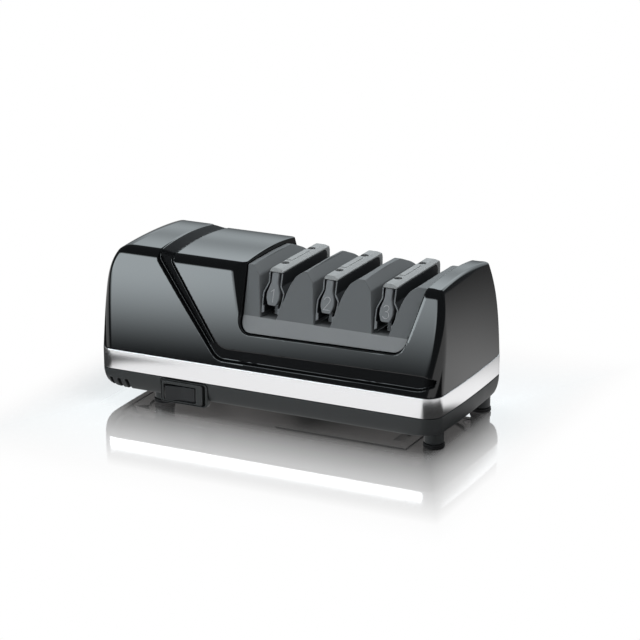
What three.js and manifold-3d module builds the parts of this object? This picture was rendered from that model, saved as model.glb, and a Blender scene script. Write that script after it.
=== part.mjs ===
// An electric three-stage knife sharpener, in millimetres, +Z up.
// The origin is on the floor under the middle of the body, +X runs along its length to the right,
// and the front, with the switch, faces -Y.
import * as THREE from "three";
import { mergeVertices } from "three/addons/utils/BufferGeometryUtils.js";
import { ConvexGeometry } from "three/addons/geometries/ConvexGeometry.js";
import Module from "manifold-3d";

const wasm = await Module();
wasm.setup();

// Driving dimensions of the whole body
const LENGTH = 248;
const HALF_DEPTH = 56; // at the silver band
const FOOT_HEIGHT = 12.2; // floor to the underside of the base
const BASE_HEIGHT = 11.7;
const BAND_HEIGHT = 13.7;
const BAND_BOTTOM = FOOT_HEIGHT + BASE_HEIGHT;
const BAND_TOP = BAND_BOTTOM + BAND_HEIGHT;

// Shared clearances and overruns
const GAP = 0.3; // between pieces that touch or run beside each other
const SEAM = 0.5; // the visible joint round the guide module
const OVERRUN = 6; // how far a cutting solid stands past what it cuts
const LAP = 1; // how far a solid runs into the one it is fused to
const PROUD = 1.9; // the most that a piece stands out past the band, in front or behind
const REACH = HALF_DEPTH + PROUD;

// Walls
const HOUSING_WALL = 4.8;
const BASE_WALL = 3;
const BASE_FLOOR = 2.7;
const BAND_THICK = 1.5;
const FLOOR_TOP = FOOT_HEIGHT + BASE_FLOOR;

// Motor
const BORE_RADIUS = 16.4;
const ROTOR_GAP = 0.8;
const ROTOR_RADIUS = BORE_RADIUS - ROTOR_GAP;
const ROTOR_OVERHANG = 1;
const ROTOR_SLOTS = 10;
const ROTOR_SLOT_DEPTH = 4;
const ROTOR_SLOT_WIDTH = 2;
const COMMUTATOR_RADIUS = 8;
const COMMUTATOR_LENGTH = 3.5;
const COIL_SIDE = 5.4;
const COIL_OUT = 6;
const COIL_THICK = 4.6;
const POLE_WALL = 1; // between the bore and the coils
const COIL_LOW = BORE_RADIUS + POLE_WALL;
const COIL_INNER_Y = 10.6;
const YOKE = 3; // outside the coils, above and below
const YOKE_SIDE = 11; // and at the sides
const STACK_HALF_Y = COIL_INNER_Y + COIL_SIDE + YOKE_SIDE;
const STACK_HALF_Z = COIL_LOW + COIL_THICK + YOKE;
const STACK_CHAMFER = 6;
const MOTOR_LIFT = 4.1; // floor of the base to the stack

// Shaft and abrasive discs
const SHAFT_Z = FLOOR_TOP + MOTOR_LIFT + STACK_HALF_Z;
const SHAFT_RADIUS = 3;
const SHAFT_END = 0.6; // how far the shaft stays inside its end bearing, and past the fan
const COLLAR_RADIUS = 4.6;
const COLLAR_WIDTH = 1.6;
const DISC_RADIUS = 21.5;
const DISC_INNER = 3; // from the slot's middle to a disc's flat face
const DISC_RIM = 1.6;
const DISC_HUB = 6;
const DISC_HUB_RADIUS = 8;
const DISC_CHAMFER = 1;
const SPRING_WIRE = 0.9;
const SPRING_RADIUS = 5;
const SPRING_TURNS = 3;
const SPRING_STEPS = 8; // in each turn

// Heights of the guide module and of the crown, built up from the discs
const DECK = 3.4;
const DISC_HEADROOM = 1.3;
const SLOT_HEIGHT = 31.8;
const CROWN_HEIGHT = 5.2; // crown above the fins
const LEDGE_Z = SHAFT_Z + DISC_RADIUS + DISC_HEADROOM + DECK;
const RIDGE_Z = LEDGE_Z + SLOT_HEIGHT;
const PEAK_Z = RIDGE_Z + CROWN_HEIGHT; // crown of the two end blocks

// Upper body
const SHOULDER_DROP = 3.2;
const SHOULDER_Z = PEAK_Z - SHOULDER_DROP; // where the leaning faces would meet the top
const FACE_LEAN = 17.2; // how far a face has leant in at that height
const SHOULDER_HALF = HALF_DEPTH - FACE_LEAN;
const MIDDLE_DROP = 1.4; // the top right of the groove lies this much lower
const SHOULDER_ROUND = 5.4;
const SHOULDER_START = SHOULDER_Z - SHOULDER_ROUND; // where the front face starts to round over
const SHOULDER_RUN = 4.2;
const SHOULDER_END_HALF = SHOULDER_HALF - SHOULDER_RUN; // half depth where the rounding has become the top
const CORNER_RADIUS_LOW = 11;
const CORNER_RADIUS_HIGH = 4.5;
const END_BOW = 1.8; // the ends swell by this much in plan
const LEFT_LEAN = 14.4; // how far the left end has drawn in at the crown
const LEFT_LEAN_POWER = 6.6;
const RIGHT_LEAN = 7.05;
const RIGHT_LEAN_POWER = 3.6;

// Stages, and the opening for the guide module
const STAGES = 3;
const SLOT_PITCH = 39.2;
const STAGE_SPAN_HALF = (SLOT_PITCH * (STAGES - 1)) / 2;
const END_FIN = 20.2; // from an end slot's middle to the opening's wall
const OPENING_HALF_LOW = STAGE_SPAN_HALF + END_FIN;
const OPENING_DRAFT = 1.2;
const OPENING_HALF_HIGH = OPENING_HALF_LOW + OPENING_DRAFT;
const RIGHT_BLOCK = 25.2; // the end block beside the opening
const MODULE_X = LENGTH / 2 - RIGHT_BLOCK - OPENING_HALF_LOW;
const OPENING_BEND_Z = LEDGE_Z;
const LEDGE_HEIGHT_LEFT = 10.3;
const LEDGE_HEIGHT_RIGHT = 8.7;
const OPENING_FLOOR_LEFT = LEDGE_Z - LEDGE_HEIGHT_LEFT;
const OPENING_FLOOR_RIGHT = LEDGE_Z - LEDGE_HEIGHT_RIGHT;
const OPENING_RADIUS = 8.5;
const OPENING_WALL = 4;
const BEVEL_HEIGHT = 29.8;
const BEVEL_TOP_Z = OPENING_BEND_Z + BEVEL_HEIGHT;
const BEVEL_OUT = 7.4; // how far along the front the corner bevel reaches at that height
const BEVEL_BACK = 13.4; // and how far back along the opening's wall

// Groove over the left shoulder and along the front
const GROOVE_DEPTH = 2.6;
const GROOVE_TOP_STEP = 0.4; // over the top its floor lies this much under the middle
const GROOVE_IN = 39.8; // from the left end to the groove, over the top
const GROOVE_WIDTH = 11.6;
const GROOVE_RUN = 43.8; // how far its left lip has moved right at its foot
const GROOVE_FOOT_WIDTH = 4.5;
const GROOVE_CORNER_RUN = 11.6;
const GROOVE_CORNER_WIDTH = 4.6;
const GROOVE_ROUND = 5; // the bends at its foot are rounded over about this length
const GROOVE_TOP_LEFT = -LENGTH / 2 + GROOVE_IN;
const GROOVE_TOP_RIGHT = GROOVE_TOP_LEFT + GROOVE_WIDTH;
const GROOVE_FOOT_LEFT = GROOVE_TOP_LEFT + GROOVE_RUN;
const GROOVE_FOOT_RIGHT = GROOVE_FOOT_LEFT + GROOVE_FOOT_WIDTH;
const GROOVE_CORNER_LEFT = GROOVE_FOOT_LEFT + GROOVE_CORNER_RUN;
const GROOVE_CORNER_RIGHT = GROOVE_CORNER_LEFT + GROOVE_CORNER_WIDTH;
const GROOVE_BEND_DROP = 0.2;
const GROOVE_BEND_Z = SHOULDER_START - GROOVE_BEND_DROP;
const GROOVE_LIFT = 3.6; // band to the lower lip
const GROOVE_HEIGHT = 7.2;
const GROOVE_LOW_Z = BAND_TOP + GROOVE_LIFT; // lower lip at the corner
const GROOVE_HIGH_Z = GROOVE_LOW_Z + GROOVE_HEIGHT; // upper lip at the corner
const GROOVE_FOOT_CLIMB_LEFT = 8.1;
const GROOVE_FOOT_CLIMB_RIGHT = 4.9;
const GROOVE_FOOT_LEFT_Z = GROOVE_LOW_Z + GROOVE_FOOT_CLIMB_LEFT;
const GROOVE_FOOT_RIGHT_Z = GROOVE_HIGH_Z + GROOVE_FOOT_CLIMB_RIGHT;
const GROOVE_RISE = 1.2; // both lips climb by this much to the right end
const GROOVE_TIP_IN = 4.2; // it ends on the right front corner, this far from the right end
const GROOVE_TIP_LENGTH = 10;
const GROOVE_TIP_X = LENGTH / 2 - GROOVE_TIP_IN;
const GROOVE_END_X = GROOVE_TIP_X - GROOVE_TIP_LENGTH;

// Guide module
const LEDGE_LEAN = 7;
const FIN_LEAN = 9.5;
const LEDGE_HALF_LOW = 50;
const LEDGE_HALF_HIGH = LEDGE_HALF_LOW - LEDGE_LEAN;
const RIDGE_HALF = LEDGE_HALF_HIGH - FIN_LEAN;
const RIDGE_REAR_FLAT = 21;
const RIDGE_REAR_SHOULDER = 32;
const RIDGE_REAR_SHOULDER_DROP = 4.2;
const RIDGE_REAR_SHOULDER_Z = RIDGE_Z - RIDGE_REAR_SHOULDER_DROP;
const RIDGE_REAR_HALF = 38.4;
const RIDGE_REAR_DROP = 11.5;
const RIDGE_REAR_Z = RIDGE_Z - RIDGE_REAR_DROP;
const RIDGE_CROWN = 0.9;
const SLOT_HALF = 5.7; // half width of a slot at its floor
const FIN_BEVEL_DROP = 8.4;
const FIN_BEVEL_Z = RIDGE_Z - FIN_BEVEL_DROP;
const FIN_HALF_AT_BEVEL = 8;
const FIN_RIDGE_HALF = 1.8;
const MODULE_WALL = 3.2;
const MODULE_INSET = 5.8; // ledge to the part inside the housing
const MODULE_DEPTH_HALF = LEDGE_HALF_LOW - MODULE_INSET;
const DISC_ROOM = 1.1; // between an end disc and the module's wall
const MODULE_BODY_HALF = STAGE_SPAN_HALF + DISC_INNER + DISC_HUB + DISC_ROOM + MODULE_WALL;
const MODULE_CLEARS = 6; // the module ends this far above the shaft's middle
const MODULE_BOTTOM = SHAFT_Z + MODULE_CLEARS;
const DECK_LAND = 15.2; // what is left of the deck at each end of a slot
const DECK_OPENING_HALF = MODULE_DEPTH_HALF - DECK_LAND;
const FIN_CORE_DROP = 12;
const FIN_CORE_TOP = RIDGE_Z - FIN_CORE_DROP; // the fins are hollow up to here

// Blade guides, with heights counted from the ledge or down from the rail's front end
const GUIDE_SET_BACK = 1.5; // behind the fins' front faces
const GUIDE_TOP_DROP = 0.6;
const GUIDE_TOP_RISE = 0.4;
const GUIDE_TOP_FRONT_Z = RIDGE_Z - GUIDE_TOP_DROP;
const GUIDE_TOP_REAR_Z = GUIDE_TOP_FRONT_Z + GUIDE_TOP_RISE;
const GUIDE_REAR = 35;
const RAIL_UNDER_DROP = 2.7;
const RAIL_HALF = 4.5;
const RAIL_CROWN_HALF = 2.9;
const RAIL_SIDE = 1.2;
const RAIL_RECESS = 1.1;
const RAIL_SCREW_RADIUS = 2.3;
const RAIL_SCREW_HEAD = 0.8;
const RAIL_SHANK_RADIUS = 0.8;
const RAIL_SHANK_LENGTH = 7;
const RAIL_SCREW_SHARES = [0.2, 0.76];
const REAR_HOOK = 4;
const REAR_HOOK_DROP = 12;
const NECK_HALF = 2.45;
const BULB_HALF = 4.9;
const BULB_ROUND = 1;
const TONGUE_HEIGHT = 7.2;
const BULB_SWELL = 4.2;
const BULB_STRAIGHT = 3.4;
const NECK_RUN = 6;
const BULB_BOTTOM_Z = LEDGE_Z + TONGUE_HEIGHT;
const BULB_WIDE_LOW_Z = BULB_BOTTOM_Z + BULB_SWELL;
const BULB_WIDE_HIGH_Z = BULB_WIDE_LOW_Z + BULB_STRAIGHT;
const NECK_FOOT_Z = BULB_WIDE_HIGH_Z + NECK_RUN;
const TONGUE_HALF = 2.2;
const LEAF_THICK = 1.1;
const LEAF_TOP_HALF = 4.5;
const LEAF_FOOT_HEIGHT = 6.2;
const LEAF_FOOT_Z = LEDGE_Z + LEAF_FOOT_HEIGHT;
const LEAF_WAIST_RISE = 1;
const LEAF_WAIST_Z = NECK_FOOT_Z + LEAF_WAIST_RISE;
const LEAF_WAIST_HALF = 4.95;
const LEAF_WIDE_Z = BULB_WIDE_HIGH_Z;
const LEAF_WIDE_HALF = 8;
const LEAF_FOOT_HALF = 6.6;
const LEAF_TOE = 2.6;
const LEAF_TOE_HEIGHT = 3.6;

// Along the shaft: the motor stands midway between the left end and the first stage
const MOTOR_X = (MODULE_X - STAGE_SPAN_HALF - LENGTH / 2) / 2;
const MOTOR_ROOM = MODULE_X - OPENING_HALF_LOW - OPENING_WALL - MOTOR_X; // to the opening's wall
const STACK_SHARE = 0.343; // of that room
const STACK_HALF = STACK_SHARE * MOTOR_ROOM;
const BRACKET_THICK = 3;
const BRACKET_ROOM = 7; // stack to a bracket
const BRACKET_SPAN = STACK_HALF + BRACKET_ROOM;
const BRACKET_HALF = 23;
const BRACKET_TOP = 17.3; // above the shaft
const BRACKET_CHAMFER = 7.7;
const BRACKET_ARM_HALF = 2.2;
const BRACKET_ARM_HALF_Z = 5;
const BEARING_RADIUS = 7.6;
const BEARING_WIDTH = 6;
const BOSS_RADIUS = 10.6;
const FAN_RADIUS = 19;
const FAN_WIDTH = 7;
const FAN_ROOM = 1.6; // bearing to fan
const FAN_X = MOTOR_X - BRACKET_SPAN - BEARING_WIDTH - FAN_ROOM - FAN_WIDTH;
const FAN_BLADES = 8;
const FAN_PLATE = 1.6;
const FAN_HUB_RADIUS = 6;
const FAN_BLADE_THICK = 1.4;
const FAN_BLADE_LENGTH = 9.5;
const FAN_BLADE_MIDDLE = 12.5; // distance from the shaft
const FAN_TWIST = 0.5;
const BEARING_ROOM = 3.1; // module to end bearing
const END_BEARING_X = MODULE_X + MODULE_BODY_HALF + BEARING_ROOM;
const SHAFT_LEFT = FAN_X - SHAFT_END;
const SHAFT_RIGHT = END_BEARING_X + BEARING_WIDTH - SHAFT_END;

// Base, feet and fasteners
const FOOT_IN_LEFT = 40.7;
const FOOT_IN_RIGHT = 10.4;
const FOOT_IN_Y = 18;
const FOOT_LEFT_X = -LENGTH / 2 + FOOT_IN_LEFT;
const FOOT_RIGHT_X = LENGTH / 2 - FOOT_IN_RIGHT;
const FOOT_Y = HALF_DEPTH - FOOT_IN_Y;
const FOOT_RADIUS = 6.6;
const PAD_HEIGHT = 3.4;
const PAD_RIM = 0.6;
const SCREW_IN_LEFT = 23;
const SCREW_IN_RIGHT = 20.4;
const SCREW_IN_Y = 13;
const SCREW_LEFT_X = -LENGTH / 2 + SCREW_IN_LEFT;
const SCREW_RIGHT_X = LENGTH / 2 - SCREW_IN_RIGHT;
const SCREW_Y = HALF_DEPTH - SCREW_IN_Y;
const SCREW_HEAD_RADIUS = 3.4;
const SCREW_HEAD = 2;
const SCREW_SHANK_RADIUS = 1.7;
const SCREW_LENGTH = 15;
const POST_RADIUS = 4.4;
const POST_HEIGHT = 59.1;
const POST_TOP = FLOOR_TOP + POST_HEIGHT;
const BULKHEAD_HALF = 13;

// Shavings cover under the discs
const COVER_PAST = 6.8; // past the end slots' middles
const COVER_HALF_X = STAGE_SPAN_HALF + COVER_PAST;
const COVER_HALF_Y = 20;
const COVER_THICK = 2.2;
const COVER_LIP = 1.4;
const COVER_PULL_SHARE = 0.8; // how far along the cover its finger groove lies
const MAGNET_HALF_X = 20;
const MAGNET_HALF_Y = 5;
const MAGNET_HEIGHT = 4;

// Switch
const SWITCH_IN = 50.4; // from the left end
const SWITCH_WIDTH = 32.4;
const SWITCH_DROP = 4.4; // below the underside of the base
const SWITCH_HEIGHT = 12.4;
const SWITCH_PROUD = 0.6;
const SWITCH_DEPTH = 18.6;
const SWITCH_WALL = 2;
const SWITCH_LEFT = -LENGTH / 2 + SWITCH_IN;
const SWITCH_RIGHT = SWITCH_LEFT + SWITCH_WIDTH;
const SWITCH_LOW = FOOT_HEIGHT - SWITCH_DROP;
const SWITCH_HIGH = SWITCH_LOW + SWITCH_HEIGHT;
const SWITCH_FRONT = HALF_DEPTH + SWITCH_PROUD;
const SWITCH_BACK = SWITCH_FRONT - SWITCH_DEPTH;
const ROCKER_IN = 1.6;
const ROCKER_WIDTH = 22.4;
const ROCKER_IN_LOW = 1.4;
const ROCKER_IN_HIGH = 1.3;
const ROCKER_LEFT = SWITCH_LEFT + ROCKER_IN;
const ROCKER_RIGHT = ROCKER_LEFT + ROCKER_WIDTH;
const ROCKER_LOW = SWITCH_LOW + ROCKER_IN_LOW;
const ROCKER_HIGH = SWITCH_HIGH - ROCKER_IN_HIGH;
const ROCKER_DEPTH = 6;
const ROCKER_TILT = THREE.MathUtils.degToRad(6);
const ROCKER_DRAFT = 1;
const ROCKER_NOSE = 1.6; // behind the pivot
const ROCKER_NOSE_HALF = 2;

// Cord inlet and the dressing lever, both at the back
const GLAND_IN = 27;
const GLAND_LIFT = 3.6;
const GLAND_X = -LENGTH / 2 + GLAND_IN;
const GLAND_Z = FLOOR_TOP + GLAND_LIFT;
const GLAND_RADIUS = 3.9;
const GLAND_FLANGE = 5.1;
const GLAND_BORE = 2.4;
const GLAND_TAIL = 4;
const LEVER_LENGTH = 17.9; // pivot to the end of the grip
const LEVER_PIVOT_Y = REACH - LEVER_LENGTH;
const LEVER_PIN_RADIUS = 2.4;
const LEVER_ARM_HALF = 1.1;
const LEVER_ARM_HALF_Z = 3;
const LEVER_TAB_HALF = 2.5;
const LEVER_TAB_LIFT = 2.1;
const LEVER_TAB_HEIGHT = 4;
const LEVER_TAB_LOW = FLOOR_TOP + LEVER_TAB_LIFT;
const LEVER_TAB_HIGH = LEVER_TAB_LOW + LEVER_TAB_HEIGHT;
const LEVER_GRIP_HALF = 5;
const LEVER_GRIP_RIM = 1; // the grip is taller than the tab by this much above and below
const LEVER_GRIP_DEPTH = 5.4;
const LEVER_SWING = 2.2; // room beside the grip on each side
const PAD_GAP = 0.8; // from the rims of the discs
const PAD_THICK = 4.2;
const PAD_HALF_X = 5;
const PAD_HALF_Z = 4;

// Vents at the left front corner of the base
const VENTS = 3;
const VENT_IN = 8.8;
const VENT_FIRST_X = -LENGTH / 2 + VENT_IN;
const VENT_PITCH = 3.9;
const VENT_WIDTH = 1.7;
const VENT_BELOW = 2.2; // below the underside of the base
const VENT_HEIGHT = 8.6;
const VENT_LOW = FOOT_HEIGHT - VENT_BELOW;
const VENT_HIGH = VENT_LOW + VENT_HEIGHT;
const VENT_SLANT = 2.4;

const COLOURS = {
  gloss_black: 0x16181a,
  satin_black: 0x242628,
  grey_plastic: 0x55595c,
  guide_grey: 0x6b7074,
  silver: 0xc9cbcd,
  steel: 0x9a9da0,
  copper: 0xa8612f,
  rubber: 0x111111,
  abrasive: 0xb9a88a,
};

// A closed three.js geometry as a solid that can be joined and cut
function solid(geometry) {
  const bare = geometry.clone();
  bare.deleteAttribute("normal");
  bare.deleteAttribute("uv");
  const merged = mergeVertices(bare, 1e-4);
  const index = merged.index.array;
  const corners = [];
  for (let i = 0; i < index.length; i += 3) {
    const [a, b, c] = [index[i], index[i + 1], index[i + 2]];
    if (a !== b && b !== c && c !== a) corners.push(a, b, c);
  }
  return new wasm.Manifold(
    new wasm.Mesh({
      numProp: 3,
      vertProperties: new Float32Array(merged.attributes.position.array),
      triVerts: new Uint32Array(corners),
    }),
  );
}

// A solid's surface as a three.js geometry
function surface(body) {
  const mesh = body.getMesh();
  const geometry = new THREE.BufferGeometry();
  geometry.setAttribute("position", new THREE.BufferAttribute(mesh.vertProperties, 3));
  geometry.setIndex(new THREE.BufferAttribute(mesh.triVerts, 1));
  geometry.computeVertexNormals();
  return geometry;
}

function joinAll(bodies) {
  return bodies.reduce((whole, piece) => whole.add(piece));
}

function outline(points) {
  return new THREE.Shape(points.map(([a, b]) => new THREE.Vector2(a, b)));
}

// An outline in (y, z) carried along X
function prismX(points, x0, x1) {
  const geometry = new THREE.ExtrudeGeometry(outline(points), { depth: x1 - x0, bevelEnabled: false });
  const turn = new THREE.Matrix4().makeBasis(
    new THREE.Vector3(0, 1, 0),
    new THREE.Vector3(0, 0, 1),
    new THREE.Vector3(1, 0, 0),
  );
  return solid(geometry.applyMatrix4(turn).translate(x0, 0, 0));
}

// An outline in (x, z) carried along Y
function prismY(points, y0, y1) {
  const geometry = new THREE.ExtrudeGeometry(outline(points), { depth: y1 - y0, bevelEnabled: false });
  return solid(geometry.rotateX(Math.PI / 2).translate(0, y1, 0));
}

// An outline in (x, y) carried along Z
function prismZ(points, z0, z1) {
  const geometry = new THREE.ExtrudeGeometry(outline(points), { depth: z1 - z0, bevelEnabled: false });
  return solid(geometry.translate(0, 0, z0));
}

function block(x0, x1, y0, y1, z0, z1) {
  const geometry = new THREE.BoxGeometry(x1 - x0, y1 - y0, z1 - z0);
  return solid(geometry.translate((x0 + x1) / 2, (y0 + y1) / 2, (z0 + z1) / 2));
}

function rodX(radius, x0, x1, y, z, sides = 20) {
  const geometry = new THREE.CylinderGeometry(radius, radius, x1 - x0, sides);
  return solid(geometry.rotateZ(-Math.PI / 2).translate((x0 + x1) / 2, y, z));
}

function rodY(radius, y0, y1, x, z, sides = 20) {
  const geometry = new THREE.CylinderGeometry(radius, radius, y1 - y0, sides);
  return solid(geometry.translate(x, (y0 + y1) / 2, z));
}

function rodZ(radius, z0, z1, x, y, sides = 20) {
  const geometry = new THREE.CylinderGeometry(radius, radius, z1 - z0, sides);
  return solid(geometry.rotateX(Math.PI / 2).translate(x, y, (z0 + z1) / 2));
}

// A profile of (radius, height) turned about an axis along X through (y, z)
function turnedX(profile, y, z, sides = 32) {
  const points = profile.map(([r, x]) => new THREE.Vector2(r, x));
  const geometry = new THREE.LatheGeometry(points, sides);
  return solid(geometry.rotateZ(-Math.PI / 2).translate(0, y, z));
}

// A profile of (radius, height) turned about an upright axis through (x, y)
function turnedZ(profile, x, y, sides = 24) {
  const points = profile.map(([r, h]) => new THREE.Vector2(r, h));
  const geometry = new THREE.LatheGeometry(points, sides);
  return solid(geometry.rotateX(Math.PI / 2).translate(x, y, 0));
}

// Rings with the same number of points, each seen anticlockwise from above, joined into one body
function loft(rings) {
  const count = rings[0].length;
  const places = rings.flat(2);
  const index = [];
  for (let r = 0; r + 1 < rings.length; r++)
    for (let i = 0; i < count; i++) {
      const a = r * count + i;
      const b = r * count + ((i + 1) % count);
      index.push(a, b, b + count, a, b + count, a + count);
    }
  const top = (rings.length - 1) * count;
  for (let i = 1; i + 1 < count; i++) {
    index.push(0, i + 1, i);
    index.push(top, top + i, top + i + 1);
  }
  const geometry = new THREE.BufferGeometry();
  geometry.setAttribute("position", new THREE.Float32BufferAttribute(places, 3));
  geometry.setIndex(index);
  return solid(geometry);
}

function mirroredY(points) {
  return points.map(([y, z]) => [-y, z]).reverse();
}

// Body form

function heightShare(z) {
  return Math.max(0, (z - BAND_TOP) / (PEAK_Z - BAND_TOP));
}

function halfDepth(z) {
  const climb = Math.max(0, z - BAND_TOP) / (SHOULDER_Z - BAND_TOP);
  return HALF_DEPTH - (HALF_DEPTH - SHOULDER_HALF) * climb;
}

function leftEnd(z) {
  return -LENGTH / 2 + LEFT_LEAN * heightShare(z) ** LEFT_LEAN_POWER;
}

function rightEnd(z) {
  return LENGTH / 2 - RIGHT_LEAN * heightShare(z) ** RIGHT_LEAN_POWER;
}

function cornerRadius(z) {
  return CORNER_RADIUS_LOW + (CORNER_RADIUS_HIGH - CORNER_RADIUS_LOW) * heightShare(z);
}

const CORNER_STEPS = 4;
const BOW_STEPS = 4;

// One rounded, slightly bowed plan section
function planRing(z, left, right, half, radius) {
  const flat = [];
  const corner = (cx, cy, from) => {
    for (let i = 0; i <= CORNER_STEPS; i++) {
      const angle = from + (Math.PI / 2) * (i / CORNER_STEPS);
      flat.push([cx + radius * Math.cos(angle), cy + radius * Math.sin(angle)]);
    }
  };
  const straight = (x, y0, y1) => {
    for (let i = 1; i < BOW_STEPS; i++) flat.push([x, y0 + ((y1 - y0) * i) / BOW_STEPS]);
  };
  corner(right - radius, -half + radius, -Math.PI / 2);
  straight(right, -half + radius, half - radius);
  corner(right - radius, half - radius, 0);
  corner(left + radius, half - radius, Math.PI / 2);
  straight(left, half - radius, -half + radius);
  corner(left + radius, -half + radius, Math.PI);
  const middle = (left + right) / 2;
  return flat.map(([x, y]) => [x - Math.sign(x - middle) * END_BOW * (y / HALF_DEPTH) ** 2, y, z]);
}

const BODY_LEVEL_SHARES = [0, 0.3, 0.52, 0.68, 0.8, 0.88, 0.94, 0.98, 1.02];

// The upper body's sides, drawn in by an inset all round
function bodySides(inset, from = BAND_TOP + GAP) {
  const rings = BODY_LEVEL_SHARES.map((share) => {
    const z = from + (PEAK_Z - from) * share;
    const radius = Math.max(cornerRadius(z) - inset, CORNER_RADIUS_HIGH / 3);
    return planRing(z, leftEnd(z) + inset, rightEnd(z) - inset, halfDepth(z) - inset, radius);
  });
  return loft(rings);
}

const ARCH_SHARES = [0.66, 0.33, 0];

// Half of the body's section near the top: leaning face, rounded shoulder, arched top
function topHalfSection(inset, drop) {
  const below = BAND_BOTTOM - OVERRUN;
  const start = [halfDepth(SHOULDER_START), SHOULDER_START - inset - drop];
  const knee = [SHOULDER_HALF, SHOULDER_Z - inset - drop];
  const arch = (y) => PEAK_Z - (PEAK_Z - SHOULDER_Z) * (y / SHOULDER_HALF) ** 2 - inset - drop;
  const end = [SHOULDER_END_HALF, arch(SHOULDER_END_HALF)];
  const points = [
    [HALF_DEPTH + OVERRUN, below],
    [halfDepth(SHOULDER_START - OVERRUN) + LAP, SHOULDER_START - OVERRUN - inset - drop],
  ];
  const steps = 4;
  for (let i = 0; i <= steps; i++) {
    const t = i / steps;
    points.push([
      (1 - t) ** 2 * start[0] + 2 * t * (1 - t) * knee[0] + t ** 2 * end[0] - inset,
      (1 - t) ** 2 * start[1] + 2 * t * (1 - t) * knee[1] + t ** 2 * end[1],
    ]);
  }
  for (const share of ARCH_SHARES) {
    const y = (SHOULDER_END_HALF - inset) * share;
    points.push([y, arch(y)]);
  }
  return points;
}

function topSection(inset, drop) {
  const right = topHalfSection(inset, drop);
  const left = mirroredY(right).slice(1);
  return [...right, ...left];
}

// The upper body as a solid form, drawn in by an inset, with its lower middle
function bodyForm(inset) {
  const grooveMiddle = (GROOVE_TOP_LEFT + GROOVE_TOP_RIGHT) / 2;
  const far = LENGTH / 2 + OVERRUN;
  const low = prismX(topSection(inset, MIDDLE_DROP), -far, far);
  const highLeft = prismX(topSection(inset, 0), -far, grooveMiddle);
  return bodySides(inset).intersect(low.add(highLeft));
}

// The form that the groove's floor follows: deep in the front, a shallow step over the top
function grooveFloor() {
  const far = LENGTH / 2 + OVERRUN;
  const top = prismX(topSection(0, MIDDLE_DROP + GROOVE_TOP_STEP), -far, far);
  return bodySides(GROOVE_DEPTH).intersect(top);
}

function grooveOutline() {
  const above = PEAK_Z + OVERRUN;
  return [
    [GROOVE_TOP_LEFT, above],
    [GROOVE_TOP_LEFT, GROOVE_BEND_Z],
    [GROOVE_FOOT_LEFT, GROOVE_FOOT_LEFT_Z],
    [GROOVE_FOOT_LEFT + GROOVE_ROUND, GROOVE_LOW_Z + GROOVE_ROUND / 2],
    [GROOVE_CORNER_LEFT, GROOVE_LOW_Z],
    [GROOVE_CORNER_RIGHT, GROOVE_LOW_Z - GAP],
    [GROOVE_END_X, GROOVE_LOW_Z + GROOVE_RISE],
    [GROOVE_TIP_X, GROOVE_HIGH_Z],
    [GROOVE_END_X, GROOVE_HIGH_Z + GROOVE_RISE],
    [GROOVE_CORNER_RIGHT, GROOVE_HIGH_Z],
    [GROOVE_FOOT_RIGHT + GROOVE_ROUND, GROOVE_HIGH_Z + GROOVE_ROUND / 5],
    [GROOVE_FOOT_RIGHT, GROOVE_FOOT_RIGHT_Z],
    [GROOVE_TOP_RIGHT, GROOVE_BEND_Z],
    [GROOVE_TOP_RIGHT, above],
  ];
}

// The opening's outline in (x, z), grown by a margin
function openingOutline(grow) {
  const above = PEAK_Z + OVERRUN;
  const radius = OPENING_RADIUS + grow;
  const half = OPENING_HALF_LOW + grow;
  const points = [[MODULE_X - OPENING_HALF_HIGH - grow, above], [MODULE_X - half, OPENING_BEND_Z]];
  const steps = 4;
  for (const [side, floor] of [[-1, OPENING_FLOOR_LEFT], [1, OPENING_FLOOR_RIGHT]]) {
    const arc = [];
    for (let i = 0; i <= steps; i++) {
      const angle = (Math.PI / 2) * (i / steps);
      arc.push([
        MODULE_X + side * (half - radius + radius * Math.cos(angle)),
        floor - grow + radius - radius * Math.sin(angle),
      ]);
    }
    points.push(...(side < 0 ? arc : arc.reverse()));
  }
  points.push([MODULE_X + half, OPENING_BEND_Z], [MODULE_X + OPENING_HALF_HIGH + grow, above]);
  return points;
}

// The bevel that opens each corner of the opening towards its top
function openingBevel(side, end) {
  const apex = new THREE.Vector3(OPENING_HALF_LOW, halfDepth(OPENING_BEND_Z), OPENING_BEND_Z);
  const out = new THREE.Vector3(OPENING_HALF_LOW + BEVEL_OUT, halfDepth(BEVEL_TOP_Z), BEVEL_TOP_Z);
  const back = new THREE.Vector3(OPENING_HALF_LOW, halfDepth(OPENING_BEND_Z) - BEVEL_BACK, BEVEL_TOP_Z);
  const along = out.clone().sub(back);
  const reach = (PEAK_Z + OVERRUN - OPENING_BEND_Z) / (BEVEL_TOP_Z - OPENING_BEND_Z);
  const grown = (point) => point.clone().sub(apex).multiplyScalar(reach).add(apex);
  const corners = [
    apex,
    grown(out.clone().add(along)),
    grown(back.clone().sub(along)),
    grown(new THREE.Vector3(OPENING_HALF_LOW - BEVEL_OUT, HALF_DEPTH + OVERRUN, BEVEL_TOP_Z)),
  ];
  const placed = corners.map((p) => new THREE.Vector3(MODULE_X + side * p.x, end * p.y, p.z));
  return solid(new ConvexGeometry(placed));
}

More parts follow.
